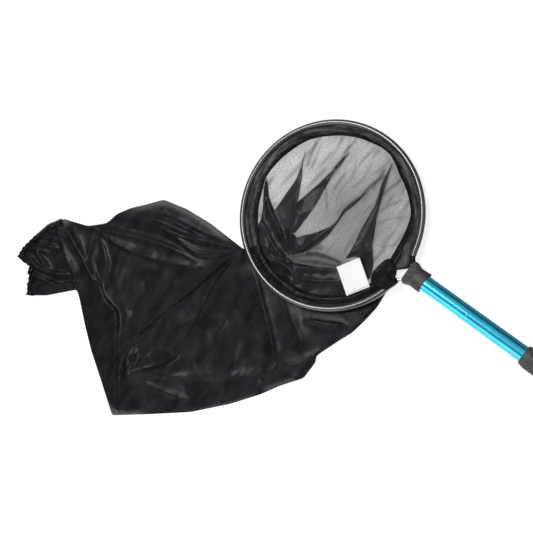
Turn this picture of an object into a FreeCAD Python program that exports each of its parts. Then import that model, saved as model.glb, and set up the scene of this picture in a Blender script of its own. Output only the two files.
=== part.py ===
"""Pond sock net: a round hoop with a long mesh sleeve, on a telescopic handle.

The handle's axis is the X axis, and +X points from the hoop to the hanging end. The origin is the
centre of the hanging hole. The net lies flat, so the floor is one lock nut radius below the axis.
All lengths are in millimetres.
"""
import FreeCAD, Part
import math
import os

import Sketcher
from FreeCAD import Placement, Rotation, Vector

# Driving dimensions: alias, value, meaning.
DIMENSIONS = [
    ("hoop_radius", 148.0, "hoop centre to the rod's axis"),
    ("rod_radius", 2.5, "steel rod of the hoop"),
    ("leg_offset", 7.5, "handle axis to the axis of a leg"),
    ("leg_bend", 30.0, "bend radius between hoop and leg"),
    ("leg_length", 88.0, "straight part of a leg"),
    ("casing_inner", 2.8, "inside radius of the hem's casing"),
    ("casing_outer", 3.4, "outside radius of the hem's casing"),
    ("casing_end", 20.0, "end of the casing, beside the handle axis"),
    ("guard_inner", 3.7, "inside radius of the split tube"),
    ("guard_outer", 4.7, "outside radius of the split tube"),
    ("guard_end", 23.5, "end of the split tube, beside the handle axis"),
    ("guard_slit", 2.2, "width of the split tube's slit"),
    ("hem_width", 19.0, "skirt of the hem, measured in plan"),
    ("hem_drop", 8.2, "drop of the skirt over its width"),
    ("hem_cloth", 0.8, "thickness of the doubled hem"),
    ("mesh_cloth", 0.8, "thickness of the sleeve's wall"),
    ("throat_run", 10.0, "plan width of the throat's sloping wall"),
    ("sleeve_length", 600.0, "sleeve from hem to tail, laid flat"),
    ("laid_thickness", 6.5, "folded sleeve lying on the floor"),
    ("tail_thickness", 14.0, "gathered tail of the sleeve"),
    ("tail_hem_length", 72.0, "gathered end of the sleeve"),
    ("tail_hem_width", 25.0, "turned hem of that end"),
    ("thread_radius", 0.6, "overlock thread"),
    ("label_length", 49.0, "label, from the hem inwards"),
    ("label_width", 40.0, "label, along the hem"),
    ("label_cloth", 0.6, "thickness of the label"),
    ("stitch_radius", 0.35, "stitches of the label"),
    ("stitch_length", 3.2, "stitches of the label"),
    ("collar_gap", 6.0, "hoop line to the collar's front face"),
    ("collar_length", 32.0, "head collar"),
    ("collar_face", 16.0, "radius of the collar's front face"),
    ("collar_bulge", 19.5, "widest radius, over the rod bends"),
    ("collar_bulge_start", 3.5, "front face to the widest radius"),
    ("collar_bulge_end", 7.0, "front face to the end of the widest radius"),
    ("collar_waist", 16.0, "narrowest radius"),
    ("collar_back", 16.8, "radius of the back edge"),
    ("collar_flat", 16.4, "half height between the two flats"),
    ("collar_front", 7.0, "half height of the flattened front face"),
    ("collar_socket", 16.0, "front face to the tube's end"),
    ("rib_depth", 0.6, "grooves between the collar's ribs"),
    ("rib_groove", 1.5, "width of those grooves"),
    ("tube_radius", 12.7, "front tube, outside"),
    ("tube_wall", 1.2, "wall of both tubes"),
    ("tube_length", 390.0, "front tube"),
    ("tube_exposed", 180.0, "bare front tube between collar and nut"),
    ("plug_length", 108.0, "plug that holds the legs"),
    ("plug_rivet_place", 81.0, "collar's back face to the rivet"),
    ("rivet_radius", 1.6, "blind rivet, shank"),
    ("rivet_head", 2.6, "blind rivet, head radius"),
    ("rivet_dome", 1.1, "blind rivet, head height"),
    ("rivet_length", 9.0, "blind rivet, shank below the head"),
    ("glide_length", 10.0, "glide flange at the tube's hidden end"),
    ("glide_spigot", 16.0, "part of the glide inside the tube"),
    ("pin_radius", 1.25, "cross pin and lock pins"),
    ("sleeve_radius", 14.3, "rear tube, outside"),
    ("rear_length", 400.0, "rear tube"),
    ("nut_front", 15.0, "radius of the lock nut's front face"),
    ("nut_radius", 17.2, "largest radius of the lock nut, which rests on the floor"),
    ("nut_chamfer", 9.5, "length of the nut's sloping front"),
    ("nut_length", 38.0, "lock nut"),
    ("nut_lip", 3.0, "front wall of the lock nut"),
    ("nut_reach", 24.0, "nut's front face to the rear tube's end"),
    ("nut_flute", 0.5, "depth of the nut's flutes"),
    ("flute_width", 2.2, "width of the nut's flutes"),
    ("thread_crest", 15.7, "radius of the lock body's thread"),
    ("ring_outer", 14.5, "clamp ring, outside"),
    ("ring_length", 13.0, "clamp ring"),
    ("ring_taper", 4.0, "tapered back of the clamp ring"),
    ("ring_step", 1.4, "radial height of that taper"),
    ("ring_slit", 1.6, "slit of the clamp ring"),
    ("ring_travel", 1.5, "axial travel of nut and ring between locked and loose"),
    ("body_flange", 5.0, "flange of the lock body behind the nut"),
    ("grip_radius", 17.0, "hand grip"),
    ("grip_length", 120.0, "hand grip"),
    ("grip_groove", 1.2, "depth of the grip's grooves"),
    ("grip_setback", 18.0, "bare tube between grip and end cap"),
    ("cap_radius", 17.0, "end cap"),
    ("cap_thickness", 5.0, "flange of the end cap"),
    ("cap_spigot", 22.0, "part of the end cap inside the tube"),
    ("lug_thickness", 7.0, "hanging lug"),
    ("lug_radius", 10.0, "rounded end of the hanging lug"),
    ("hang_radius", 4.5, "hanging hole"),
    ("hang_offset", 20.0, "rear tube's end to the hanging hole"),
    ("bond_gap", 0.05, "glued and pressed seats"),
    ("running_gap", 0.06, "sliding and turning fits"),
    ("free_gap", 0.3, "clearance of cloth and of parts that pass freely"),
    ("face_gap", 0.05, "end faces that meet"),
]

RIB_COUNT = 22
FLUTE_COUNT = 18
GRIP_GROOVES = 9
STITCH_COUNT = 7
LABEL_BEARING = -33.5  # degrees round the hoop from the handle
THREAD_START = -20.0
THREAD_SWEEP = 28.0

# The laid sleeve's edge beyond the hoop, clockwise from the hoop's far side. Each point is
# (along, across) from the hoop's centre, in hundredths of the sleeve's length.
LAID_EDGE = [
    (-29.7, -22.2),
    (-44.2, -23.8),
    (-50.2, -30.2),
    (-54.7, -38.7),
    (-60.7, -43.8),
    (-67.7, -46.5),
    (-71.7, -56.7),
]
# The edge goes on from the gathered end to the hoop's near side.
LAID_EDGE_BACK = [
    (-51.2, -61.0),
    (-37.8, -71.0),
    (-20.7, -82.5),
    (-6.2, -70.7),
    (4.7, -59.5),
    (11.8, -50.2),
    (18.8, -39.5),
    (19.0, -33.3),
    (24.0, -19.7),
]
# The gathered tail, which lies thicker than the rest: its edge away from the gathered end.
TAIL_EDGE = [
    (-53.3, -60.7),
    (-53.0, -51.0),
    (-58.5, -44.5),
    (-67.2, -47.3),
    (-71.2, -57.0),
]
# The near corner of the gathered end, and the bearing of that end seen from it.
TAIL_CORNER = (-61.6, -68.4)
TAIL_BEARING = 143.5
# Where the sleeve's edge passes under the hoop: bearing in degrees and share of the hoop's radius.
UNDER_HOOP = [(-21.3, 1.06), (-11.0, 1.03)]
UNDER_HOOP_BACK = (-125.5, 1.07)
INSIDE_BEARINGS = [-6.0, -65.0, -128.0]


class Size:
    """A length: its number and the sheet formula that gives it."""

    def __init__(self, number, formula=None):
        self.number = float(number)
        self.formula = formula if formula else repr(float(number))

    def __add__(self, other):
        other = as_size(other)
        return Size(self.number + other.number, f"({self.formula} + {other.formula})")

    def __sub__(self, other):
        other = as_size(other)
        return Size(self.number - other.number, f"({self.formula} - {other.formula})")

    def __mul__(self, other):
        other = as_size(other)
        return Size(self.number * other.number, f"({self.formula} * {other.formula})")

    def __truediv__(self, other):
        other = as_size(other)
        return Size(self.number / other.number, f"({self.formula} / {other.formula})")

    def __neg__(self):
        return Size(-self.number, f"(0 - {self.formula})")

    def root(self):
        return Size(math.sqrt(self.number), f"sqrt({self.formula})")


def as_size(value):
    return value if isinstance(value, Size) else Size(value)


class Sheet:
    """The spreadsheet of driving dimensions, read as Size values by alias."""

    def __init__(self, doc):
        self.cells = doc.addObject("Spreadsheet::Sheet", "Dimensions")
        for row, (alias, number, meaning) in enumerate(DIMENSIONS, start=1):
            self.cells.set(f"A{row}", meaning)
            self.cells.set(f"B{row}", str(number))
            self.cells.setAlias(f"B{row}", alias)
        doc.recompute()

    def __getattr__(self, alias):
        return Size(self.cells.get(alias), f"Dimensions.{alias}")


doc = FreeCAD.newDocument("sock_net")
dim = Sheet(doc)
ZERO = Size(0)
NODES = []

# Stations along the handle, from the hanging hole at x = 0 back to the hoop.
X_REAR_END = -dim.hang_offset
X_REAR_FRONT = X_REAR_END - dim.rear_length
X_NUT = X_REAR_FRONT - dim.nut_reach
X_COLLAR_BACK = X_NUT - dim.tube_exposed
X_COLLAR = X_COLLAR_BACK - dim.collar_length
X_HOOP = X_COLLAR - dim.collar_gap - dim.hoop_radius
X_TUBE = X_COLLAR + dim.collar_socket + dim.face_gap
X_TUBE_END = X_TUBE + dim.tube_length

# The skirt's slope, as the two sides of a triangle whose long side is 1.
HEM_RUN = (dim.hem_width * dim.hem_width + dim.hem_drop * dim.hem_drop).root()
SLOPE_IN = dim.hem_width / HEM_RUN
SLOPE_DOWN = dim.hem_drop / HEM_RUN
HEM_ROOT = (dim.casing_inner + dim.casing_outer) / 2

# Levels below the handle's axis.
FLOOR = -dim.nut_radius
HEM_TOP = -(HEM_ROOT * SLOPE_DOWN)
HEM_LOW = HEM_TOP - dim.hem_drop

# Radii shared by pieces that fit together.
TUBE_BORE = dim.tube_radius - dim.tube_wall
REAR_BORE = dim.sleeve_radius - dim.tube_wall
HEM_OUTER = dim.hoop_radius - HEM_ROOT * SLOPE_IN
HEM_INNER = HEM_OUTER - dim.hem_width

# The lock body's flange behind the nut, measured from the nut's front face.
FLANGE_START = dim.nut_length + dim.free_gap * 2
FLANGE_RADIUS = dim.nut_radius - dim.free_gap
LOCK_PINS = FLANGE_START + dim.body_flange / 2

# The bend between hoop and leg: its centre, measured from the hoop's centre.
BEND_Y = dim.leg_offset + dim.leg_bend
BEND_REACH = dim.hoop_radius + dim.leg_bend
BEND_X = (BEND_REACH * BEND_REACH - BEND_Y * BEND_Y).root()


def new_body(node):
    """An empty body for one node."""
    body = doc.addObject("PartDesign::Body", node)
    return register(body, node)


def register(item, node):
    """Names an object as the finished shape of one node."""
    item.Label = node
    NODES.append(item)
    return item


def place(item, x=ZERO, y=ZERO, z=ZERO):
    """Puts an object at sizes measured from the hanging hole."""
    item.Placement = Placement(Vector(x.number, y.number, z.number), Rotation())
    item.setExpression("Placement.Base.x", x.formula)
    item.setExpression("Placement.Base.y", y.formula)
    item.setExpression("Placement.Base.z", z.formula)


def origin_feature(body, role):
    """One of the body's own origin planes or axes."""
    for feature in body.Origin.OriginFeatures:
        if feature.Role == role:
            return feature
    raise ValueError(f"{body.Label} has no {role}")


def new_sketch(body, name, role, offset=None):
    """A sketch on one of the body's own origin planes, moved along its normal by offset."""
    sketch = body.newObject("Sketcher::SketchObject", name)
    sketch.AttachmentSupport = [(origin_feature(body, role), "")]
    sketch.MapMode = "FlatFace"
    if offset is not None:
        sketch.AttachmentOffset = Placement(Vector(0, 0, offset.number), Rotation())
        sketch.setExpression("AttachmentOffset.Base.z", offset.formula)
    return sketch


def constrain(sketch, *arguments, size):
    """Adds one dimension to a sketch and binds it to the sheet."""
    index = sketch.addConstraint(Sketcher.Constraint(*arguments, size.number))
    sketch.setExpression(f"Constraints[{index}]", size.formula)


def fix_point(sketch, geometry, vertex, across, up):
    """Holds one sketch point at two sizes from the sketch's origin."""
    for kind, axis, size in (("DistanceX", -2, across), ("DistanceY", -1, up)):
        if abs(size.number) < 1e-9:
            sketch.addConstraint(Sketcher.Constraint("PointOnObject", geometry, vertex, axis))
        else:
            constrain(sketch, kind, -1, 1, geometry, vertex, size=size)


def add_polygon(sketch, corners):
    """Draws a closed outline whose every corner is bound to the sheet."""
    corners = [(as_size(across), as_size(up)) for across, up in corners]
    points = [Vector(across.number, up.number, 0) for across, up in corners]
    first = sketch.GeometryCount
    count = len(points)
    for index in range(count):
        sketch.addGeometry(Part.LineSegment(points[index], points[(index + 1) % count]))
    for index in range(count):
        following = first + (index + 1) % count
        sketch.addConstraint(Sketcher.Constraint("Coincident", first + index, 2, following, 1))
        fix_point(sketch, first + index, 1, *corners[index])


def add_circle(sketch, across, up, radius):
    circle = Part.Circle(Vector(across.number, up.number, 0), Vector(0, 0, 1), radius.number)
    index = sketch.addGeometry(circle)
    constrain(sketch, "Radius", index, size=radius)
    fix_point(sketch, index, 3, across, up)


def turn(body, sketch, axis, name):
    feature = body.newObject("PartDesign::Revolution", name)
    feature.Profile = sketch
    feature.ReferenceAxis = (sketch, [axis])
    feature.Angle = 360.0
    return feature


def turn_along(body, corners, name="Turned"):
    """Turns an (along, radius) outline about the body's X axis."""
    sketch = new_sketch(body, f"{name}Outline", "XY_Plane")
    add_polygon(sketch, corners)
    return turn(body, sketch, "H_Axis", name)


def turn_upright(body, corners, name="Turned"):
    """Turns a (radius, height) outline about the body's Z axis."""
    sketch = new_sketch(body, f"{name}Outline", "XZ_Plane")
    add_polygon(sketch, corners)
    return turn(body, sketch, "V_Axis", name)


def pad(body, sketch, length, name, midplane=False):
    feature = body.newObject("PartDesign::Pad", name)
    feature.Profile = sketch
    feature.Midplane = midplane
    feature.Length = length.number
    feature.setExpression("Length", length.formula)
    return feature


def pocket(body, sketch, length, name, midplane=False, reverse=False):
    """Cuts a sketch out of the body and makes sure that material went."""
    doc.recompute()
    volume = body.Shape.Volume
    feature = body.newObject("PartDesign::Pocket", name)
    feature.Profile = sketch
    feature.Midplane = midplane
    feature.Reversed = reverse
    feature.Length = length.number
    feature.setExpression("Length", length.formula)
    doc.recompute()
    if body.Shape.Volume > volume - 1e-6:
        raise ValueError(f"{name} of {body.Label} cuts nothing")
    return feature


def repeat_round(body, feature, count, name):
    """Repeats a feature round the body's X axis."""
    pattern = body.newObject("PartDesign::PolarPattern", name)
    pattern.Originals = [feature]
    pattern.Axis = (origin_feature(body, "X_Axis"), [""])
    pattern.Angle = 360.0
    pattern.Occurrences = count
    body.Tip = pattern
    return pattern


def mirror_across_handle(body, features, name="OtherSide"):
    """Repeats features on the other side of the plane through the handle."""
    mirror = body.newObject("PartDesign::Mirrored", name)
    mirror.Originals = features
    mirror.MirrorPlane = (origin_feature(body, "XZ_Plane"), [""])
    body.Tip = mirror
    return mirror


def bend_angle():
    """Bearing at which the hoop's arc meets the bend, in radians."""
    return math.asin(BEND_Y.number / BEND_REACH.number)


def half_hoop_path(body, end_across=None):
    """Half the rod's line: hoop arc and bend, then the leg, or a bend that stops at end_across."""
    sketch = new_sketch(body, "HalfHoopLine", "XY_Plane")
    bearing = bend_angle()
    up = Vector(0, 0, 1)
    hoop = Part.Circle(Vector(0, 0, 0), up, dim.hoop_radius.number)
    bend = Part.Circle(Vector(BEND_X.number, BEND_Y.number, 0), up, dim.leg_bend.number)
    stop = 1.5 * math.pi
    if end_across is not None:
        stop -= math.acos((BEND_Y.number - end_across.number) / dim.leg_bend.number)
    sketch.addGeometry(Part.ArcOfCircle(hoop, bearing, math.pi))
    sketch.addGeometry(Part.ArcOfCircle(bend, math.pi + bearing, stop))
    sketch.addConstraint(Sketcher.Constraint("Coincident", 0, 3, -1, 1))
    sketch.addConstraint(Sketcher.Constraint("PointOnObject", 0, 2, -1))
    sketch.addConstraint(Sketcher.Constraint("Tangent", 0, 1, 1, 1))
    constrain(sketch, "Radius", 0, size=dim.hoop_radius)
    constrain(sketch, "Radius", 1, size=dim.leg_bend)
    if end_across is not None:
        constrain(sketch, "DistanceY", -1, 1, 1, 3, size=BEND_Y)
        constrain(sketch, "DistanceY", -1, 1, 1, 2, size=end_across)
        return sketch
    leg_start = Vector(BEND_X.number, dim.leg_offset.number, 0)
    leg_end = BEND_X + dim.leg_length
    sketch.addGeometry(Part.LineSegment(leg_start, Vector(leg_end.number, leg_start.y, 0)))
    sketch.addConstraint(Sketcher.Constraint("Tangent", 1, 2, 2, 1))
    sketch.addConstraint(Sketcher.Constraint("Horizontal", 2))
    constrain(sketch, "DistanceY", -1, 1, 2, 2, size=dim.leg_offset)
    constrain(sketch, "DistanceX", -1, 1, 2, 2, size=leg_end)
    return sketch


def sweep(body, profile, path, name, kind="PartDesign::AdditivePipe"):
    feature = body.newObject(kind, name)
    feature.Profile = profile
    feature.Spine = path
    return feature


def make_hoop_rod():
    """Steel rod: hoop, two bends and two legs, from one bar."""
    body = new_body("hoop_rod")
    path = half_hoop_path(body)
    section = new_sketch(body, "RodSection", "XZ_Plane")
    add_circle(section, -dim.hoop_radius, ZERO, dim.rod_radius)
    half = sweep(body, section, path, "HalfRod")
    mirror_across_handle(body, [half])
    place(body, X_HOOP)


def make_hoop_guard():
    """Split tube over rod and hem, with its slit inwards and down where the hem comes out."""
    body = new_body("hoop_guard")
    path = half_hoop_path(body, dim.guard_end)
    section = new_sketch(body, "GuardSection", "XZ_Plane")
    add_circle(section, -dim.hoop_radius, ZERO, dim.guard_outer)
    add_circle(section, -dim.hoop_radius, ZERO, dim.guard_inner)
    half = sweep(body, section, path, "HalfGuard")
    near = dim.guard_inner - dim.guard_slit / 2
    far = dim.guard_outer + dim.guard_slit / 2
    half_slit = dim.guard_slit / 2
    corners = []
    for reach, side in ((near, -1), (far, -1), (far, 1), (near, 1)):
        across = reach * SLOPE_IN + half_slit * SLOPE_DOWN * side
        up = half_slit * SLOPE_IN * side - reach * SLOPE_DOWN
        corners.append((across - dim.hoop_radius, up))
    slit = new_sketch(body, "SlitSection", "XZ_Plane")
    add_polygon(slit, corners)
    cut = sweep(body, slit, path, "HalfSlit", "PartDesign::SubtractivePipe")
    mirror_across_handle(body, [half, cut])
    place(body, X_HOOP)


def make_net_hem():
    """Double band: a casing round the rod and a skirt that slopes inwards and down."""
    body = new_body("net_hem")
    turn_upright(
        body,
        [
            (HEM_INNER, HEM_LOW),
            (HEM_OUTER, HEM_TOP - dim.hem_cloth / 2),
            (HEM_OUTER, HEM_TOP + dim.hem_cloth / 2),
            (HEM_INNER, HEM_LOW + dim.hem_cloth),
        ],
        "Skirt",
    )
    path = half_hoop_path(body, dim.casing_end)
    section = new_sketch(body, "CasingSection", "XZ_Plane")
    add_circle(section, -dim.hoop_radius, ZERO, dim.casing_outer)
    add_circle(section, -dim.hoop_radius, ZERO, dim.casing_inner)
    half = sweep(body, section, path, "HalfCasing")
    mirror_across_handle(body, [half])
    place(body, X_HOOP)


def polar(radius, bearing):
    """A point round the hoop, as two sizes."""
    angle = math.radians(bearing)
    return radius * math.cos(angle), radius * math.sin(angle)


def laid_point(along, across):
    """A point of the laid sleeve, given in hundredths of its length."""
    return dim.sleeve_length * (along / 100.0), dim.sleeve_length * (across / 100.0)


def tail_end():
    """Both corners of the sleeve's gathered end, the near one first."""
    near = laid_point(*TAIL_CORNER)
    along, across = polar(dim.tail_hem_length, TAIL_BEARING)
    return near, (near[0] + along, near[1] + across)


def make_net_sleeve():
    """Mesh sleeve: throat and floor inside the hoop, laid body and thick gathered tail."""
    body = new_body("net_sleeve")
    throat_top = HEM_INNER + dim.mesh_cloth
    throat_low = throat_top - dim.throat_run
    edge = [polar(dim.hoop_radius * UNDER_HOOP_BACK[1], UNDER_HOOP_BACK[0])]
    edge += [laid_point(*point) for point in LAID_EDGE]
    near_corner, far_corner = tail_end()
    edge += [far_corner, near_corner]
    edge += [laid_point(*point) for point in LAID_EDGE_BACK]
    edge += [polar(dim.hoop_radius * share, bearing) for bearing, share in UNDER_HOOP]
    inside = throat_low - dim.throat_run / 2
    edge += [polar(inside, bearing) for bearing in INSIDE_BEARINGS]
    laid = new_sketch(body, "LaidOutline", "XY_Plane", FLOOR)
    add_polygon(laid, edge)
    pad(body, laid, dim.laid_thickness, "LaidCloth")
    mouth = new_sketch(body, "MouthOutline", "XY_Plane", FLOOR)
    add_circle(mouth, ZERO, ZERO, throat_low)
    pocket(body, mouth, dim.laid_thickness, "Mouth", reverse=True)
    turn_upright(
        body,
        [
            (ZERO, FLOOR),
            (throat_low, FLOOR),
            (throat_top, HEM_LOW - dim.free_gap),
            (HEM_INNER, HEM_LOW - dim.free_gap),
            (throat_low - dim.mesh_cloth, FLOOR + dim.mesh_cloth),
            (ZERO, FLOOR + dim.mesh_cloth),
        ],
        "Throat",
    )
    tail = new_sketch(body, "TailOutline", "XY_Plane", FLOOR)
    add_polygon(tail, [far_corner, near_corner] + [laid_point(*point) for point in TAIL_EDGE])
    pad(body, tail, dim.tail_thickness, "Tail")
    place(body, X_HOOP)


def make_box(node, length, width, height):
    box = register(doc.addObject("Part::Box", node), node)
    for name, size in (("Length", length), ("Width", width), ("Height", height)):
        box.setExpression(name, size.formula)
    return box


def make_tail_hem():
    """Turned hem of the gathered far end."""
    box = make_box("tail_hem", dim.tail_hem_length, dim.tail_hem_width, dim.tail_thickness)
    corner = tail_end()[0]
    along, across = polar(dim.free_gap, TAIL_BEARING + 90.0)
    place(box, X_HOOP + corner[0] + along, corner[1] + across, FLOOR)
    box.Placement.Rotation = Rotation(Vector(0, 0, 1), TAIL_BEARING)


def hem_level(radius):
    """Level of the skirt's upper face at a distance from the hoop's centre."""
    return HEM_LOW + dim.hem_cloth + (radius - HEM_INNER) * dim.hem_drop / dim.hem_width


def make_hem_thread():
    """Overlock thread along the hem's inner edge beside the collar."""
    ring = register(doc.addObject("Part::Torus", "hem_thread"), "hem_thread")
    radius = HEM_INNER + dim.thread_radius * 2
    level = hem_level(radius + dim.thread_radius) + dim.thread_radius + dim.free_gap
    ring.setExpression("Radius1", radius.formula)
    ring.setExpression("Radius2", dim.thread_radius.formula)
    ring.Angle3 = THREAD_SWEEP
    place(ring, X_HOOP, ZERO, level)
    ring.Placement.Rotation = Rotation(Vector(0, 0, 1), THREAD_START)


def label_placement():
    """The label's plane, sewn edge over the hem and free edge on the mesh. X runs inwards."""
    outer = HEM_INNER.number + dim.hem_cloth.number * 3
    corner = math.hypot(outer, dim.label_width.number / 2)
    high = hem_level(as_size(corner)).number + dim.free_gap.number
    low = FLOOR.number + dim.mesh_cloth.number + dim.free_gap.number
    slope = math.degrees(math.asin((high - low) / dim.label_length.number))
    turned = Rotation(Vector(0, 0, 1), LABEL_BEARING + 180.0)
    turned = turned.multiply(Rotation(Vector(0, 1, 0), slope))
    middle = Vector(*polar(outer, LABEL_BEARING), high) + Vector(X_HOOP.number, 0, 0)
    half_width = turned.multVec(Vector(0, dim.label_width.number / 2, 0))
    return Placement(middle - half_width, turned)


def make_net_label():
    """Woven label, sewn by its outer edge to the hem."""
    box = make_box("net_label", dim.label_length, dim.label_width, dim.label_cloth)
    box.Placement = label_placement()


def make_label_stitches():
    """Row of stitches that lies on the label's sewn edge."""
    radius = dim.stitch_radius.number
    length = dim.stitch_length.number
    width = dim.label_width.number
    inset = 2.0 * length / 3.0
    level = dim.label_cloth.number + radius + dim.bond_gap.number
    pitch = (width - 2.0 * inset) / STITCH_COUNT
    bars = []
    for index in range(STITCH_COUNT):
        start = inset + index * pitch + (pitch - length) / 2
        bars.append(Part.makeCylinder(radius, length, Vector(inset, start, level), Vector(0, 1, 0)))
    node = register(doc.addObject("Part::Feature", "label_stitches"), "label_stitches")
    node.Shape = Part.Compound(bars)
    node.Placement = label_placement()


def make_head_collar():
    """Moulded collar: wide and flattened over the rod bends, waisted, ribbed and round behind."""
    body = new_body("head_collar")
    turn_along(
        body,
        [
            (ZERO, ZERO),
            (ZERO, dim.collar_face),
            (dim.collar_bulge_start, dim.collar_bulge),
            (dim.collar_bulge_end, dim.collar_bulge),
            (dim.collar_socket, dim.collar_waist),
            (dim.collar_length, dim.collar_back),
            (dim.collar_length, dim.tube_radius + dim.bond_gap),
            (dim.collar_socket, dim.tube_radius + dim.bond_gap),
            (dim.collar_socket, ZERO),
        ],
    )
    flats = new_sketch(body, "FlatsOutline", "XZ_Plane")
    margin = dim.collar_bulge * 2
    for side in (1, -1):
        front = dim.collar_front * side
        low = dim.collar_flat * side
        high = dim.collar_bulge * (2 * side)
        corners = [
            (-dim.collar_gap, front),
            (ZERO, front),
            (dim.collar_socket, low),
            (margin, low),
            (margin, high),
            (-dim.collar_gap, high),
        ]
        add_polygon(flats, corners)
    pocket(body, flats, dim.collar_bulge * 4, "Flats", midplane=True)
    rib_start = dim.collar_socket + dim.rib_groove
    groove = new_sketch(body, "RibOutline", "XZ_Plane")
    top = dim.collar_back + dim.rib_depth
    low = dim.collar_waist - dim.rib_depth
    end = dim.collar_length + dim.rib_groove
    add_polygon(groove, [(rib_start, top), (rib_start, low), (end, low), (end, top)])
    cut = pocket(body, groove, dim.rib_groove, "RibGroove", midplane=True)
    repeat_round(body, cut, RIB_COUNT, "RibGrooves")
    doc.recompute()
    hoop_to_face = dim.hoop_radius + dim.collar_gap
    centre_x = BEND_X - hoop_to_face
    path = new_sketch(body, "ChannelLine", "XY_Plane")
    bearing = bend_angle()
    centre = Vector(centre_x.number, BEND_Y.number, 0)
    bend = Part.Circle(centre, Vector(0, 0, 1), dim.leg_bend.number)
    path.addGeometry(Part.ArcOfCircle(bend, math.pi + bearing, 1.5 * math.pi))
    constrain(path, "Radius", 0, size=dim.leg_bend)
    fix_point(path, 0, 3, centre_x, BEND_Y)
    constrain(path, "DistanceX", -1, 1, 0, 2, size=centre_x)
    constrain(path, "DistanceX", -1, 1, 0, 1, size=-(dim.collar_gap * 1.5))
    section = new_sketch(body, "ChannelSection", "YZ_Plane", centre_x)
    add_circle(section, dim.leg_offset, ZERO, dim.rod_radius + dim.free_gap)
    channel = sweep(body, section, path, "Channel", "PartDesign::SubtractivePipe")
    mirror_across_handle(body, [channel], "OtherChannel")
    place(body, X_COLLAR)


def make_leg_plug():
    """Nylon plug in the front tube, bored for both legs and for the rivet."""
    body = new_body("leg_plug")
    radius = TUBE_BORE - dim.bond_gap
    turn_along(body, [(ZERO, ZERO), (ZERO, radius), (dim.plug_length, radius), (dim.plug_length, ZERO)])
    start = dim.collar_socket + dim.rod_radius / 2
    leg_end = BEND_X + dim.leg_length - dim.hoop_radius - dim.collar_gap
    bores = new_sketch(body, "LegBoresOutline", "YZ_Plane")
    for side in (1, -1):
        add_circle(bores, dim.leg_offset * side, ZERO, dim.rod_radius + dim.free_gap)
    depth = leg_end - start + dim.free_gap
    pocket(body, bores, depth, "LegBores", reverse=True)
    rivet_x = dim.collar_length + dim.plug_rivet_place - start
    hole = new_sketch(body, "RivetHoleOutline", "XY_Plane", dim.tube_radius - dim.rivet_length)
    add_circle(hole, rivet_x, ZERO, dim.rivet_radius + dim.bond_gap)
    pocket(body, hole, dim.tube_radius, "RivetHole", reverse=True)
    place(body, X_COLLAR + start)


def make_rivet(node, x, seat):
    """Blind rivet seen from above: domed head on the tube and shank through its wall."""
    body = new_body(node)
    length = dim.rivet_length - dim.bond_gap
    corners = [
        (ZERO, -length),
        (dim.rivet_radius, -length),
        (dim.rivet_radius, ZERO),
        (dim.rivet_head, ZERO),
        (dim.rivet_head * 0.8, dim.rivet_dome * 0.7),
        (dim.rivet_head * 0.4, dim.rivet_dome),
        (ZERO, dim.rivet_dome),
    ]
    turn_upright(body, corners, "Rivet")
    place(body, x, ZERO, seat + dim.bond_gap)


def make_front_tube():
    """Anodised tube with the rivet's hole on top and the pin's hole at its hidden end."""
    body = new_body("front_tube")
    outline = new_sketch(body, "TubeOutline", "YZ_Plane")
    add_circle(outline, ZERO, ZERO, dim.tube_radius)
    add_circle(outline, ZERO, ZERO, TUBE_BORE)
    pad(body, outline, dim.tube_length, "Tube")
    rivet_x = dim.collar_length + dim.plug_rivet_place - dim.collar_socket - dim.face_gap
    hole = new_sketch(body, "RivetHoleOutline", "XY_Plane")
    add_circle(hole, rivet_x, ZERO, dim.rivet_radius + dim.bond_gap)
    pocket(body, hole, dim.tube_radius * 2, "RivetHole", reverse=True)
    pin = new_sketch(body, "PinHoleOutline", "XY_Plane")
    add_circle(pin, dim.tube_length - dim.glide_spigot / 2, ZERO, dim.pin_radius + dim.bond_gap)
    pocket(body, pin, dim.tube_radius * 4, "PinHole", midplane=True)
    place(body, X_TUBE)


def make_tube_end_plug():
    """Plug in the front tube's hidden end, with a flange that glides in the rear tube."""
    body = new_body("tube_end_plug")
    spigot = TUBE_BORE - dim.bond_gap
    flange = REAR_BORE - dim.running_gap
    length = dim.glide_spigot + dim.glide_length
    face = dim.glide_spigot + dim.face_gap
    turn_along(
        body,
        [
            (ZERO, ZERO),
            (ZERO, spigot),
            (face, spigot),
            (face, flange),
            (length, flange),
            (length, ZERO),
        ],
    )
    pin = new_sketch(body, "PinHoleOutline", "XY_Plane")
    add_circle(pin, dim.glide_spigot / 2, ZERO, dim.pin_radius + dim.bond_gap)
    pocket(body, pin, dim.tube_radius * 4, "PinHole", midplane=True)
    place(body, X_TUBE_END - dim.glide_spigot)


def make_end_plug_pin():
    """Cross pin through tube and glide, flush with the tube."""
    body = new_body("end_plug_pin")
    sketch = new_sketch(body, "PinOutline", "XY_Plane")
    add_circle(sketch, ZERO, ZERO, dim.pin_radius)
    pad(body, sketch, (dim.tube_radius - dim.free_gap) * 2, "Pin", midplane=True)
    place(body, X_TUBE_END - dim.glide_spigot / 2)


def make_clamp_ring():
    """Split ring with a tapered back, squeezed on the front tube by the nut."""
    body = new_body("clamp_ring")
    bore = dim.tube_radius + dim.running_gap
    taper_start = dim.ring_length - dim.ring_taper
    turn_along(
        body,
        [
            (ZERO, bore),
            (ZERO, dim.ring_outer),
            (taper_start, dim.ring_outer),
            (dim.ring_length, dim.ring_outer - dim.ring_step),
            (dim.ring_length, bore),
        ],
    )
    slit = new_sketch(body, "SlitOutline", "XY_Plane")
    half = dim.ring_slit / 2
    corners = [(-half, -half), (dim.ring_length + half, -half)]
    corners += [(dim.ring_length + half, half), (-half, half)]
    add_polygon(slit, corners)
    pocket(body, slit, dim.ring_outer * 2, "Slit", reverse=True)
    place(body, X_NUT + dim.nut_lip + dim.running_gap)


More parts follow.
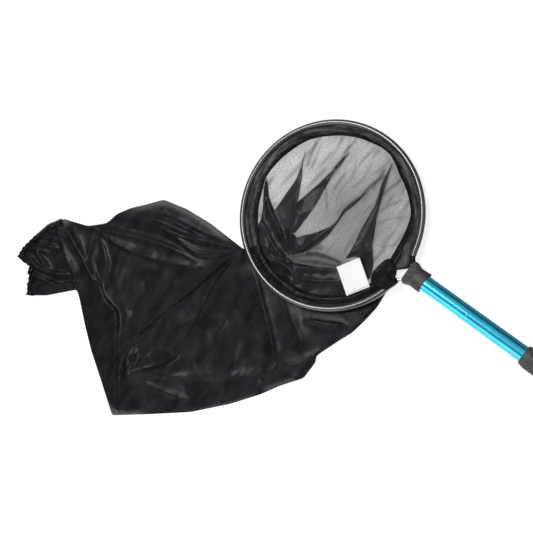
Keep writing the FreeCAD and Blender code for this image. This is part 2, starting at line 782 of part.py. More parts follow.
def make_lock_nut():
    """Twist-lock nut: sloping front, fluted grip, cavity for the ring and plain thread bore."""
    body = new_body("lock_nut")
    bore = dim.tube_radius + dim.free_gap
    cavity = dim.ring_outer + dim.free_gap
    thread = dim.thread_crest + dim.running_gap
    thread_start = dim.nut_lip + dim.ring_length - dim.ring_taper - dim.ring_travel
    turn_along(
        body,
        [
            (ZERO, bore),
            (ZERO, dim.nut_front),
            (dim.nut_chamfer, dim.nut_radius),
            (dim.nut_length, dim.nut_radius),
            (dim.nut_length, thread),
            (thread_start, thread),
            (thread_start, cavity),
            (dim.nut_lip, cavity),
            (dim.nut_lip, bore),
        ],
    )
    flute = new_sketch(body, "FluteOutline", "XZ_Plane")
    top = dim.nut_radius + dim.nut_flute
    low = dim.nut_radius - dim.nut_flute
    end = dim.nut_length + dim.nut_flute
    add_polygon(flute, [(dim.nut_chamfer, top), (dim.nut_chamfer, low), (end, low), (end, top)])
    cut = pocket(body, flute, dim.flute_width, "Flute", midplane=True)
    repeat_round(body, cut, FLUTE_COUNT, "Flutes")
    place(body, X_NUT)


def make_lock_body():
    """Bush bonded on the rear tube: ring seat in front, thread, and a flange behind the nut."""
    body = new_body("lock_body")
    seat_start = dim.nut_lip + dim.running_gap + dim.ring_length - dim.ring_taper
    front = seat_start + dim.free_gap
    narrow = dim.ring_outer - dim.ring_step + dim.free_gap
    seat_end = front + dim.ring_taper
    bore = dim.tube_radius + dim.free_gap
    tube_seat = dim.sleeve_radius + dim.bond_gap
    turn_along(
        body,
        [
            (front, dim.ring_outer + dim.free_gap),
            (front, dim.thread_crest),
            (FLANGE_START, dim.thread_crest),
            (FLANGE_START, FLANGE_RADIUS),
            (FLANGE_START + dim.body_flange, FLANGE_RADIUS),
            (FLANGE_START + dim.body_flange, tube_seat),
            (dim.nut_reach - dim.face_gap, tube_seat),
            (dim.nut_reach - dim.face_gap, bore),
            (seat_end, bore),
            (seat_end, narrow),
        ],
    )
    pins = new_sketch(body, "PinHolesOutline", "XZ_Plane")
    add_circle(pins, LOCK_PINS, ZERO, dim.pin_radius + dim.bond_gap)
    pocket(body, pins, dim.nut_radius * 4, "PinHoles", midplane=True)
    place(body, X_NUT)


def make_lock_body_pins():
    """Two short pins through the bush's flange and the rear tube's wall."""
    inner = REAR_BORE.number + dim.bond_gap.number
    outer = FLANGE_RADIUS.number - dim.free_gap.number
    node = register(doc.addObject("Part::Feature", "lock_body_pins"), "lock_body_pins")
    pins = []
    for side in (1, -1):
        start = Vector(0, side * inner, 0)
        pins.append(Part.makeCylinder(dim.pin_radius.number, outer - inner, start, Vector(0, side, 0)))
    node.Shape = Part.Compound(pins)
    place(node, X_NUT + LOCK_PINS)


def make_rear_tube():
    """Outer tube with the holes for the lock pins and the cap's rivet."""
    body = new_body("rear_tube")
    outline = new_sketch(body, "TubeOutline", "YZ_Plane")
    add_circle(outline, ZERO, ZERO, dim.sleeve_radius)
    add_circle(outline, ZERO, ZERO, REAR_BORE)
    pad(body, outline, dim.rear_length, "Tube")
    pins = new_sketch(body, "PinHolesOutline", "XZ_Plane")
    add_circle(pins, LOCK_PINS - dim.nut_reach, ZERO, dim.pin_radius + dim.bond_gap)
    pocket(body, pins, dim.sleeve_radius * 4, "PinHoles", midplane=True)
    hole = new_sketch(body, "RivetHoleOutline", "XY_Plane")
    add_circle(hole, dim.rear_length - dim.grip_setback / 2, ZERO, dim.rivet_radius + dim.bond_gap)
    pocket(body, hole, dim.sleeve_radius * 2, "RivetHole", reverse=True)
    place(body, X_REAR_FRONT)


def make_hand_grip():
    """Ribbed grip pushed on the rear tube."""
    body = new_body("hand_grip")
    bore = dim.sleeve_radius + dim.bond_gap
    pitch = dim.grip_length / (GRIP_GROOVES + 1)
    corners = [(ZERO, bore), (ZERO, dim.grip_radius - dim.grip_groove)]
    corners.append((dim.grip_groove, dim.grip_radius))
    for index in range(1, GRIP_GROOVES + 1):
        middle = pitch * index
        corners.append((middle - dim.grip_groove * 2, dim.grip_radius))
        corners.append((middle - dim.grip_groove, dim.grip_radius - dim.grip_groove))
        corners.append((middle + dim.grip_groove, dim.grip_radius - dim.grip_groove))
        corners.append((middle + dim.grip_groove * 2, dim.grip_radius))
    corners.append((dim.grip_length - dim.grip_groove, dim.grip_radius))
    corners.append((dim.grip_length, dim.grip_radius - dim.grip_groove))
    corners.append((dim.grip_length, bore))
    turn_along(body, corners)
    place(body, X_REAR_END - dim.grip_setback - dim.grip_length)


def make_end_cap():
    """End cap: spigot in the rear tube, flange, and a lug with the hanging hole."""
    body = new_body("end_cap")
    spigot = REAR_BORE - dim.bond_gap
    flange = dim.cap_thickness + dim.face_gap
    turn_along(
        body,
        [
            (-dim.cap_spigot, ZERO),
            (-dim.cap_spigot, spigot),
            (dim.face_gap, spigot),
            (dim.face_gap, dim.cap_radius - dim.cap_thickness / 4),
            (dim.cap_thickness / 4, dim.cap_radius),
            (flange - dim.cap_thickness / 4, dim.cap_radius),
            (flange, dim.cap_radius - dim.cap_thickness / 4),
            (flange, ZERO),
        ],
    )
    lug = new_sketch(body, "LugOutline", "XY_Plane")
    corners = [
        (dim.cap_thickness / 2, -dim.lug_radius),
        (dim.hang_offset, -dim.lug_radius),
        (dim.hang_offset, dim.lug_radius),
        (dim.cap_thickness / 2, dim.lug_radius),
    ]
    add_polygon(lug, corners)
    pad(body, lug, dim.lug_thickness, "Lug", midplane=True)
    tip = new_sketch(body, "TipOutline", "XY_Plane")
    add_circle(tip, dim.hang_offset, ZERO, dim.lug_radius)
    pad(body, tip, dim.lug_thickness, "Tip", midplane=True)
    hole = new_sketch(body, "HangHoleOutline", "XY_Plane")
    add_circle(hole, dim.hang_offset, ZERO, dim.hang_radius)
    pocket(body, hole, dim.lug_thickness * 4, "HangHole", midplane=True)
    rivet = new_sketch(body, "RivetHoleOutline", "XY_Plane", dim.sleeve_radius - dim.rivet_length)
    add_circle(rivet, -(dim.grip_setback / 2), ZERO, dim.rivet_radius + dim.bond_gap)
    pocket(body, rivet, dim.sleeve_radius, "RivetHole", reverse=True)
    place(body, X_REAR_END)


def check_and_export():
    """Stops at any failed object, then writes one file for each node."""
    doc.recompute()
    for item in doc.Objects:
        if "Invalid" in item.State or "Error" in item.State:
            raise ValueError(f"{item.Label} failed: {item.State}")
    os.makedirs("parts", exist_ok=True)
    for item in NODES:
        shape = item.Shape
        if shape.isNull() or not shape.isValid():
            raise ValueError(f"{item.Label} has no valid shape")
        shape.exportStep(f"parts/{item.Label}.step")
        print(f"{item.Label}: {len(shape.Solids)} solid(s), {shape.Volume / 1000.0:.2f} cm3")


make_hoop_rod()
make_hoop_guard()
make_net_hem()
make_net_sleeve()
make_tail_hem()
make_hem_thread()
make_net_label()
make_label_stitches()
make_head_collar()
make_leg_plug()
make_rivet("plug_rivet", X_COLLAR_BACK + dim.plug_rivet_place, dim.tube_radius)
make_front_tube()
make_tube_end_plug()
make_end_plug_pin()
make_clamp_ring()
make_lock_nut()
make_lock_body()
make_lock_body_pins()
make_rear_tube()
make_hand_grip()
make_end_cap()
make_rivet("cap_rivet", X_REAR_END - dim.grip_setback / 2, dim.sleeve_radius)
check_and_export()
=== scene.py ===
"""Pond sock net on a telescopic handle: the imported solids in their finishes, and the net's cloth.

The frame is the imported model's own: metres, the handle along X, the hoop lying flat at the far end.
Cloth is planned in millimetres round the hoop's centre, because that is where its sizes are known.
"""
import logging
import math
from dataclasses import dataclass
from enum import Enum
from typing import ClassVar

import bpy
import numpy as np
from mathutils import Matrix, Vector, kdtree, noise
from mathutils.geometry import delaunay_2d_cdt


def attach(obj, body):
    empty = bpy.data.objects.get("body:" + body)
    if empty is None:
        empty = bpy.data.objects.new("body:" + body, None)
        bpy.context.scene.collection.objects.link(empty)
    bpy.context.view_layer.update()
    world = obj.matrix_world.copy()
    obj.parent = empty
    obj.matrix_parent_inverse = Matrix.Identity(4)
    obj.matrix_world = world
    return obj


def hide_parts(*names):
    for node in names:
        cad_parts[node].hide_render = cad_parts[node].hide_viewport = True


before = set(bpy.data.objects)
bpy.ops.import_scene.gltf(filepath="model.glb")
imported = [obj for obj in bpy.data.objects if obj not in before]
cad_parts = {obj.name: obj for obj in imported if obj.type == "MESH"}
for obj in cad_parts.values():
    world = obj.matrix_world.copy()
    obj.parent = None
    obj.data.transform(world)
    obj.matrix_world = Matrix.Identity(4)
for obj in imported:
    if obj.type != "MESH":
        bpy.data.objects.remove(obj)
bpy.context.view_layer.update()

MM = 0.001  # one millimetre in metres
HOOP_X = -810.0  # the hoop's centre along the handle, in millimetres
FLOOR = -17.2  # level of the floor, in millimetres
HEAD = "head"  # the body that the cloth rides on
EVERYWHERE = 1e6  # a radius that holds the whole plan

Line = list[tuple[float, float]]
Path = tuple[tuple[float, float], ...]

log = logging.getLogger("sock_net")


# Shapes of the cloth, in millimetres round the hoop's centre.

# The laid sleeve's edge, from the hoop's far side round by the tail to the handle's side.
LAID_EDGE: Line = [
    (-94, -129), (-169, -128), (-220, -133), (-265, -144), (-287, -168), (-309, -191),
    (-325, -214), (-332, -238), (-344, -249), (-360, -263), (-382, -271), (-408, -280),
    (-424, -303), (-437, -340), (-443, -367), (-443, -388), (-413, -383), (-402, -400),
    (-386, -431), (-354, -408), (-310, -364), (-295, -375), (-261, -403), (-224, -431),
    (-173, -463), (-124, -495), (-67, -448), (-11, -400), (38, -345), (70, -301),
    (89, -269), (113, -236), (114, -203), (109, -195), (126, -151), (135, -130),
    (141, -99), (144, -74), (142, -47), (149, -25),
]
TAIL_FIRST, TAIL_LAST = 13, 18  # the points of the edge that bound the gathered end

# The mouth, where the sleeve is sewn to the hem: bearing in degrees and radius.
MOUTH: Line = [
    (-180, 128.5), (-175, 129), (-167, 126), (-160, 125), (-145, 124.5), (-131, 125), (-125, 127),
    (-105, 128), (-85, 127), (-60, 127), (-33, 127), (-20, 124), (-9.5, 118), (0, 117),
    (12, 117.5), (25, 123), (35, 128), (49, 126.5), (64, 125), (74, 130), (80, 133), (88, 132.5),
    (94.5, 130.5), (110, 129), (126.5, 127.7), (142, 129), (158, 127.5), (172.5, 128),
    (180, 128.5),
]
# Between these bearings the sleeve leaves the hoop and lies outside it.
MOUTH_FAR = -125.5
MOUTH_NEAR = -9.5

HEM_RISE = 0.4316  # slope of the hem towards the hoop
HEM_RADIUS, HEM_HEIGHT = 126.154, -8.628  # a point on the hem's middle layer


@dataclass(frozen=True)
class Crease:
    """A fold line in the cloth.

    Attributes:
        line: points of the fold, smoothed before use.
        rise: height of the fold in millimetres, negative for a valley.
        left: distance over which it dies away on the left of its direction.
        right: the same on the right. A very short one makes the edge of an overlapping pleat.
        start: share of the height at the line's first point.
        end: share of the height at its last point.
    """

    line: Path
    rise: float
    left: float
    right: float
    start: float = 0.3
    end: float = 0.3


# Folds of the laid sleeve.
SLEEVE_CREASES: tuple[Crease, ...] = (
    # The pleat from the tail's notch towards the hoop: its upper ridge and its overlapping edge.
    Crease(((-358, -261), (-340, -255), (-271, -224), (-223, -206), (-180, -195), (-146, -191)),
           3.2, 5, 9, 0.8, 0.2),
    Crease(((-332, -258), (-277, -254), (-223, -237), (-169, -216), (-145, -202)),
           4.5, 13, 0.9, 0.7, 0.5),
    # The fan that spreads from the hoop's far side over the upper edge.
    Crease(((-93, -136), (-156, -184), (-195, -181), (-244, -183), (-286, -216)),
           3.4, 3, 9, 0.5, 0.2),
    Crease(((-93, -128), (-189, -170), (-260, -188), (-320, -216)), 3.0, 7, 3, 0.5, 0.3),
    Crease(((-96, -132), (-170, -152), (-235, -163), (-290, -188)), 2.0, 8, 3, 0.6, 0.2),
    # The two long folds from the same place across the body.
    Crease(((-92, -129), (-103, -153), (-116, -195), (-134, -256), (-146, -283), (-166, -363),
            (-176, -387), (-172, -411)), 4.2, 2.2, 14, 0.5, 0.4),
    Crease(((-96, -134), (-116, -175), (-134, -225), (-152, -262), (-176, -318)),
           2.4, 4, 2.2, 0.5, 0.1),
    Crease(((-91, -131), (-95, -164), (-97, -209), (-89, -261), (-88, -305), (-80, -340),
            (-94, -371), (-138, -419)), 3.8, 11, 2.2, 0.5, 0.6),
    # The star near the lower corner.
    Crease(((-138, -419), (-152, -381)), 3.6, 3, 3, 0.8, 0.3),
    Crease(((-141, -415), (-159, -404), (-160, -383)), 2.6, 3, 3, 0.8, 0.3),
    Crease(((-138, -419), (-129, -368)), 2.6, 3, 8, 0.8, 0.2),
    Crease(((-138, -419), (-82, -362), (-77, -342)), 2.6, 3, 6, 0.8, 0.2),
    Crease(((-138, -419), (-52, -359), (-12, -334), (8, -313), (53, -275), (74, -245),
            (101, -215), (111, -194)), 2.1, 9, 1.4, 0.8, 0.6),
    Crease(((-138, -419), (-70, -403), (-16, -383)), 2.0, 8, 6, 0.8, 0.1),
    # The crease down the tail's side of the body.
    Crease(((-341, -253), (-336, -273), (-316, -319), (-289, -329)), 2.2, 5, 4, 0.5, 0.5),
    Crease(((-323, -264), (-281, -294), (-280, -327)), 2.2, 4, 5, 0.5, 0.5),
    Crease(((-282, -324), (-258, -341), (-247, -345), (-220, -345), (-175, -407), (-133, -469),
            (-122, -493)), 4.0, 1.6, 14, 0.5, 0.4),
    # Broad folds between the hoop and the lower edge.
    Crease(((-46, -153), (15, -201), (46, -226), (59, -248)), 2.0, 3, 12, 0.6, 0.2),
    Crease(((106, -201), (108, -230)), 2.0, 2.5, 1.5, 0.4, 0.4),
    Crease(((56, -286), (64, -300)), 1.4, 1.2, 5, 0.3, 0.3),
    Crease(((32, -165), (70, -184), (88, -203)), 2.4, 12, 8, 0.4, 0.2),
    Crease(((64, -158), (105, -138), (122, -126)), 2.4, 4, 4, 0.5, 0.2),
    Crease(((-50, -236), (-43, -251), (-48, -280)), 1.6, 4, 4, 0.3, 0.2),
    Crease(((-60, -200), (-20, -262), (-30, -320)), -1.6, 14, 14, 0.2, 0.2),
    Crease(((-205, -250), (-190, -300), (-205, -340)), -1.8, 16, 16, 0.2, 0.2),
    # The tail: the edge of its gathers, the smooth band beside them, and its pleats.
    Crease(((-406, -295), (-372, -319), (-330, -341), (-310, -363)), 4.4, 12, 2, 0.5, 0.5),
    Crease(((-402, -280), (-343, -303), (-289, -329)), 3.6, 4, 9, 0.4, 0.4),
    Crease(((-410, -354), (-392, -363), (-378, -362)), 4.4, 2.5, 3, 0.8, 0.4),
    Crease(((-404, -392), (-378, -388), (-363, -381), (-346, -383), (-330, -371), (-318, -354)),
           5.2, 2.2, 4, 0.8, 0.5),
    Crease(((-420, -372), (-390, -376), (-362, -366), (-338, -352)), 4.6, 2.2, 4, 0.8, 0.4),
    Crease(((-392, -412), (-368, -400), (-344, -386)), 3.8, 2.5, 4, 0.8, 0.2),
    Crease(((-430, -352), (-404, -336), (-384, -326)), 3.0, 2, 3, 0.8, 0.3),
    Crease(((-434, -362), (-408, -348), (-392, -342)), 2.6, 2, 3, 0.8, 0.3),
    Crease(((-424, -330), (-402, -316), (-386, -312)), 2.6, 2, 3, 0.8, 0.3),
    Crease(((-418, -312), (-400, -304), (-380, -300)), 2.2, 2, 3, 0.8, 0.3),
)

# Edges where the laid sleeve is only two plain layers: the line, how far in, how open.
THIN_EDGES: tuple[tuple[Path, float, float], ...] = (
    (((-94, -129), (-169, -128), (-220, -133), (-265, -144), (-287, -168), (-309, -191),
      (-325, -214)), 12.0, 0.50),
    (((-382, -271), (-408, -280), (-424, -303), (-437, -340)), 14.0, 0.45),
    (((-150, -478), (-124, -495), (-67, -448)), 9.0, 0.45),
    (((110, -200), (126, -151), (135, -130)), 4.0, 0.35),
    (((-11, -400), (38, -345), (70, -301)), 5.0, 0.35),
    (((68, -300), (89, -269), (110, -240)), 9.0, 0.40),
)

# Pleats of the cloth that lies inside the hoop: each is a dark wedge of folded layers.
WEDGES: tuple[Path, ...] = (
    ((-129, -10), (-122, -19), (-111, -33), (-98, -42), (-88, -47), (-63, -61), (-47, -76),
     (-31, -88), (-36, -107), (-63, -116), (-91, -92), (-96, -74), (-104, -58), (-115, -40),
     (-123, -25)),
    ((-101, 61), (-94, 43), (-79, 20), (-70, 1), (-62, -14), (-54, -31), (-42, -53), (-36, -71),
     (-31, -84), (-38, -83), (-64, -64), (-87, -50), (-87, -17), (-86, 16), (-93, 40)),
    ((-37, 100), (-41, 82), (-44, 56), (-50, 29), (-60, -7), (-62, -14), (-56, -29), (-46, -49),
     (-40, -60), (-36, -58), (-35, -29), (-34, -2), (-37, 32), (-40, 52), (-37, 77)),
    ((24, 62), (19, 46), (12, 32), (9, 18), (11, -2), (7, -16), (-8, -38), (-24, -55),
     (-36, -71), (-30, -84), (-20, -90), (-4, -72), (7, -49), (12, -27), (13, -6), (13, 17),
     (20, 38)),
    ((32, 123), (34, 107), (37, 86), (48, 53), (50, 26), (53, -1), (58, -30), (57, -43),
     (71, -28), (104, -53), (109, -43), (98, -21), (81, 0), (69, 23), (62, 37), (54, 57),
     (44, 85), (35, 111)),
    ((-118, -58), (-96, -84), (-75, -84), (-54, -82), (-33, -90), (-12, -98), (7, -90), (30, -80),
     (51, -66), (71, -62), (96, -78), (125, -70), (140, -110), (80, -160), (0, -170),
     (-90, -150), (-140, -90)),
    ((-62, -62), (-46, -56), (-37, -60), (-29, -61), (-23, -68), (-22, -92), (-40, -96),
     (-62, -84)),
)

# How much light comes through the layers of each wedge, as extra openness.
WEDGE_LIGHT = (0.004, 0.017, 0.011, 0.006, 0.011, 0.0, 0.0)

# Beside the lowest wedge the net lies twice.
DOUBLED: Path = (
    (-26, -94), (-14, -86), (-2, -73), (11, -62), (29, -55), (55, -50), (60, -60), (51, -67),
    (30, -81), (7, -91), (-12, -99),
)


@dataclass(frozen=True)
class Tuck:
    """A thin fold in the single layer inside the hoop, where the netting lies double.

    Attributes:
        line: points of the fold.
        rise: its height in millimetres.
        width: its width in millimetres.
        cover: share of the light that it takes away.
    """

    line: Path
    rise: float
    width: float
    cover: float


TUCKS: tuple[Tuck, ...] = (
    Tuck(((26, 111), (30, 91), (22, 70), (23, 55), (14, 35)), 1.6, 2.2, 0.62),
    Tuck(((34, 100), (26, 84), (30, 70)), 1.0, 2.0, 0.35),
    Tuck(((-40, 36), (-25, 17), (-11, 1)), 1.0, 1.4, 0.30),
    Tuck(((-94, 85), (-89, 62), (-83, 40)), 1.0, 1.8, 0.40),
    Tuck(((-86, 90), (-80, 66), (-74, 40)), 0.8, 1.4, 0.22),
    Tuck(((-42, 111), (-41, 82), (-44, 60)), 1.2, 1.6, 0.40),
    Tuck(((-60, 112), (-56, 88), (-58, 70)), 0.8, 1.4, 0.20),
    Tuck(((59, 110), (53, 91), (47, 72)), 1.0, 2.0, 0.35),
    Tuck(((58, 47), (68, 70), (79, 86)), 0.8, 1.6, 0.28),
    Tuck(((66, 30), (80, 52), (94, 62)), 0.8, 1.4, 0.20),
    Tuck(((88, 4), (104, 14), (112, 22)), 0.8, 1.6, 0.20),
    Tuck(((-20, 96), (-10, 70), (-14, 40), (-8, 20)), 0.7, 1.4, 0.22),
    Tuck(((4, 104), (8, 80), (0, 52)), 0.7, 1.8, 0.20),
    Tuck(((-2, -73), (11, -62), (29, -55), (55, -50)), 0.8, 3.0, 0.22),
    Tuck(((-26, -92), (-14, -76), (2, -60), (16, -46)), 0.8, 8.0, 0.42),
    Tuck(((-8, -92), (12, -76), (34, -66), (54, -58)), 0.9, 2.4, 0.25),
)

# Folds on the dark cloth inside the hoop.
INSIDE_CREASES: tuple[Crease, ...] = (
    Crease(((-13, -102), (-1, -99), (23, -85), (51, -67)), 3.0, 2.2, 7, 0.8, 0.4),
    Crease(((-6, -103), (12, -113), (38, -101), (72, -77)), 3.4, 5, 1.6, 0.6, 0.4),
    Crease(((-71, -118), (-54, -116), (-32, -108), (-6, -108), (12, -113)), 3.0, 2, 6, 0.5, 0.5),
    Crease(((-117, -31), (-91, -53), (-67, -63), (-40, -81)), 2.4, 2, 5, 0.5, 0.8),
    Crease(((-70, 1), (-54, -35), (-38, -69)), 2.2, 4, 2, 0.2, 0.8),
    Crease(((44, 85), (62, 37), (70, 4), (60, -28)), 2.2, 5, 2, 0.2, 0.5),
    Crease(((60, 36), (75, 8), (97, -21)), 1.8, 2, 5, 0.3, 0.4),
    Crease(((13, -1), (3, -35), (-10, -73), (-18, -95)), 2.2, 2, 5, 0.2, 0.8),
    Crease(((-100, -70), (-76, -84), (-50, -96), (-30, -100)), 2.6, 3, 6, 0.4, 0.8),
    Crease(((-92, -96), (-70, -100), (-46, -104)), 2.2, 3, 4, 0.4, 0.5),
)


def smooth_line(points: Line, step: float, rounds: int, closed: bool = False) -> np.ndarray:
    """Divides a line evenly and rounds its corners.

    Args:
        points: corners of the line.
        step: spacing of the new points.
        rounds: how often each point moves towards the middle of its neighbours.
        closed: whether the last point joins the first.

    Returns:
        The new points, one per row. An open line keeps its ends.
    """
    corners = np.array(points + [points[0]] if closed else points, float)
    runs = np.hypot(*(corners[1:] - corners[:-1]).T)
    stations = np.concatenate([[0.0], np.cumsum(runs)])
    count = max(2, int(round(stations[-1] / step)))
    at = np.linspace(0.0, stations[-1], count + 1)
    line = np.stack([np.interp(at, stations, corners[:, k]) for k in (0, 1)], 1)
    if closed:
        line = line[:-1]
    for _ in range(rounds):
        middle = 0.5 * (np.roll(line, 1, 0) + np.roll(line, -1, 0))
        if not closed:
            middle[0], middle[-1] = line[0], line[-1]
        line = 0.5 * (line + middle)
    return line


def nearest(points: np.ndarray, line: np.ndarray,
            closed: bool = False) -> tuple[np.ndarray, np.ndarray, np.ndarray]:
    """Finds where each point lies beside a line.

    Args:
        points: points of the plan, one per row.
        line: points of the line.
        closed: whether its last point joins the first.

    Returns:
        Three arrays: distance, side (1 on the left, -1 on the right) and share of the length.
    """
    start = line if closed else line[:-1]
    end = np.roll(line, -1, 0) if closed else line[1:]
    best = np.full(len(points), 1e9)
    side = np.ones(len(points))
    share = np.zeros(len(points))
    for k, (a, b) in enumerate(zip(start, end)):
        run = b - a
        length = max(float(run @ run), 1e-9)
        away = points - a
        t = np.clip(away @ run / length, 0.0, 1.0)
        gap = np.hypot(*(away - t[:, None] * run).T)
        closer = gap < best
        best[closer] = gap[closer]
        turn = run[0] * away[closer, 1] - run[1] * away[closer, 0]
        side[closer] = np.where(turn >= 0, 1.0, -1.0)
        share[closer] = (k + t[closer]) / len(start)
    return best, side, share


def ease(values: np.ndarray) -> np.ndarray:
    """Turns 0 to 1 into a smooth step."""
    t = np.clip(values, 0.0, 1.0)
    return t * t * (3.0 - 2.0 * t)


def ramp(values: np.ndarray, start: float, end: float) -> np.ndarray:
    """Rises smoothly from 0 at the start to 1 at the end."""
    return ease((values - start) / (end - start))


def within(points: np.ndarray, ring: np.ndarray) -> np.ndarray:
    """Says which points lie inside a closed line.

    Args:
        points: points of the plan, one per row.
        ring: points of the closed line.

    Returns:
        True for each point inside.
    """
    inside = np.zeros(len(points), bool)
    for a, b in zip(ring, np.roll(ring, -1, 0)):
        crosses = (a[1] > points[:, 1]) != (b[1] > points[:, 1])
        rise = b[1] - a[1] if b[1] != a[1] else 1e-9
        inside ^= crosses & (points[:, 0] < (b[0] - a[0]) * (points[:, 1] - a[1]) / rise + a[0])
    return inside


def ripple(points: np.ndarray, size: float, seed: float, stretch: float = 1.0,
           lean: float = 1.0) -> np.ndarray:
    """Gives each point a smooth random height between about -1 and 1.

    Args:
        points: points of the plan.
        size: width of one ripple.
        seed: where in the noise to start.
        stretch: how much longer a ripple is along the sleeve than across it.
        lean: direction of that length from +X in radians.

    Returns:
        The heights.
    """
    along, across = math.cos(lean), math.sin(lean)
    return np.array([
        noise.noise(Vector(((x * across - y * along) / size, (x * along + y * across)
                            / (size * stretch), seed)))
        for x, y in points
    ])


def crumple(points: np.ndarray, size: float, seed: float, stretch: float = 1.0) -> np.ndarray:
    """Like a ripple, but with sharp ridges between smooth hollows, as in crushed cloth."""
    return 1.0 - 2.2 * np.abs(ripple(points, size, seed, stretch))


def facets(points: np.ndarray, size: float, seed: float) -> np.ndarray:
    """Gives each point a height of -1 to 1 on flat triangles that meet in sharp creases.

    Args:
        points: points of the plan.
        size: width of one triangle.
        seed: which set of heights.

    Returns:
        The heights.
    """
    # The triangles' grid is bent by a wide ripple and turned, so that no two rows look alike.
    bend, wide = 0.55, 2.2 * size
    cosine, sine = 0.88, 0.48
    bent = points / size
    bent = bent + bend * np.column_stack([ripple(points, wide, seed + 0.3),
                                          ripple(points, wide, seed + 7.7)])
    turned = np.column_stack([bent[:, 0] * cosine - bent[:, 1] * sine,
                              bent[:, 0] * sine + bent[:, 1] * cosine])
    heights = []
    for u, v in turned:
        i, j = math.floor(u), math.floor(v)
        p, q = u - i, v - j
        corner = {(a, b): 2.0 * noise.cell(Vector((i + a + 0.5, j + b + 0.5, seed))) - 1.0
                  for a in (0, 1) for b in (0, 1)}
        if p + q < 1.0:
            height = corner[0, 0] * (1 - p - q) + corner[1, 0] * p + corner[0, 1] * q
        else:
            height = corner[1, 1] * (p + q - 1) + corner[1, 0] * (1 - q) + corner[0, 1] * (1 - p)
        heights.append(height)
    return np.array(heights)


def mouth_radius(bearing: float) -> float:
    """Radius of the mouth, where the sleeve is sewn to the hem.

    Args:
        bearing: the direction from the hoop's centre in degrees.

    Returns:
        The radius in millimetres.
    """
    bearing = (bearing + 180.0) % 360.0 - 180.0
    table = np.array(MOUTH, float)
    return float(np.interp(bearing, table[:, 0], table[:, 1]))


def hem_level(radius: float) -> float:
    """Height of the hem's middle layer at a radius."""
    return HEM_HEIGHT + (radius - HEM_RADIUS) * HEM_RISE


def polar(radius: float, bearing: float) -> tuple[float, float]:
    """The point of the plan at a radius and a bearing in degrees."""
    angle = math.radians(bearing)
    return radius * math.cos(angle), radius * math.sin(angle)


def crease_height(points: np.ndarray, crease: Crease) -> np.ndarray:
    """Height that one fold adds at each point.

    Args:
        points: points of the plan, one per row.
        crease: the fold.

    Returns:
        The heights in millimetres.
    """
    taper = 0.25  # share of the fold's length over which its height grows at each end
    line = smooth_line(list(crease.line), 6.0, 6)
    gap, side, share = nearest(points, line)
    width = np.where(side > 0, crease.left, crease.right)
    swell = np.minimum(
        crease.start + (1 - crease.start) * ease(share / taper),
        crease.end + (1 - crease.end) * ease((1 - share) / taper),
    )
    return crease.rise * swell * np.exp(-gap / width)


def outset(ring: np.ndarray, amount: float) -> np.ndarray:
    """Moves a closed line outwards.

    Args:
        ring: points of the closed line.
        amount: how far it moves.

    Returns:
        The moved points.
    """
    run = np.roll(ring, -1, 0) - np.roll(ring, 1, 0)
    run /= np.maximum(np.hypot(*run.T), 1e-9)[:, None]
    area = np.sum(ring[:, 0] * np.roll(ring[:, 1], -1) - np.roll(ring[:, 0], -1) * ring[:, 1])
    sign = 1.0 if area > 0 else -1.0
    return ring + sign * amount * np.stack([run[:, 1], -run[:, 0]], 1)


class Cloth:
    """A cloth mesh under construction: points in millimetres round the hoop, and faces."""

    def __init__(self) -> None:
        """Starts an empty mesh."""
        self.points: list[tuple[float, float, float]] = []
        self.faces: list[tuple[int, ...]] = []
        self.open: list[float] = []
        self.plan: list[tuple[float, float]] = []

    def add(self, points: np.ndarray, faces: list, opening: np.ndarray, plan: np.ndarray) -> None:
        """Adds a patch.

        Args:
            points: one row of x, y, z per point.
            faces: point numbers of each face, counted from the patch's first point.
            opening: how open the mesh cloth is at each point, 0 to 1.
            plan: where each point lies in the cloth before it was folded.
        """
        first = len(self.points)
        self.points += [tuple(p) for p in points.tolist()]
        self.faces += [tuple(i + first for i in face) for face in faces]
        self.open += opening.tolist()
        self.plan += [tuple(p) for p in plan.tolist()]

    def make(self, name: str, weld: float = 0.01) -> bpy.types.Object:
        """Makes the piece, its openness and its map, and shades it smooth.

        Args:
            name: the piece's name.
            weld: points nearer than this, in millimetres, become one.

        Returns:
            The new object, at the origin, with its place in its mesh.
        """
        grid: dict[tuple, int] = {}
        number: list[int] = []
        keep: list[int] = []
        for i, p in enumerate(self.points):
            key = tuple(round(c / weld) for c in p)
            if key not in grid:
                grid[key] = len(keep)
                keep.append(i)
            number.append(grid[key])
        faces = []
        for face in self.faces:
            corners = [number[i] for i in face]
            if len(set(corners)) == len(corners):
                faces.append(corners)
        mesh = bpy.data.meshes.new(name)
        mesh.from_pydata(
            [((self.points[i][0] + HOOP_X) * MM, self.points[i][1] * MM, self.points[i][2] * MM)
             for i in keep], [], faces)
        mesh.validate()
        mesh.update()
        opening = mesh.attributes.new("open", "FLOAT", "POINT")
        opening.data.foreach_set("value", [self.open[i] for i in keep])
        weave = mesh.uv_layers.new(name="weave")
        for loop in mesh.loops:
            u, v = self.plan[keep[loop.vertex_index]]
            weave.data[loop.index].uv = (u * MM, v * MM)
        mesh.polygons.foreach_set("use_smooth", [True] * len(mesh.polygons))
        piece = bpy.data.objects.new(name, mesh)
        bpy.context.scene.collection.objects.link(piece)
        log.info("%s: %.4f square metres", name, sum(face.area for face in mesh.polygons))
        return piece


def outwards(piece: bpy.types.Object) -> None:
    """Turns a closed piece's faces outwards.

    Args:
        piece: the piece.
    """
    bpy.ops.object.select_all(action="DESELECT")
    piece.select_set(True)
    bpy.context.view_layer.objects.active = piece
    bpy.ops.object.mode_set(mode="EDIT")
    bpy.ops.mesh.select_all(action="SELECT")
    bpy.ops.mesh.normals_make_consistent(inside=False)
    bpy.ops.object.mode_set(mode="OBJECT")


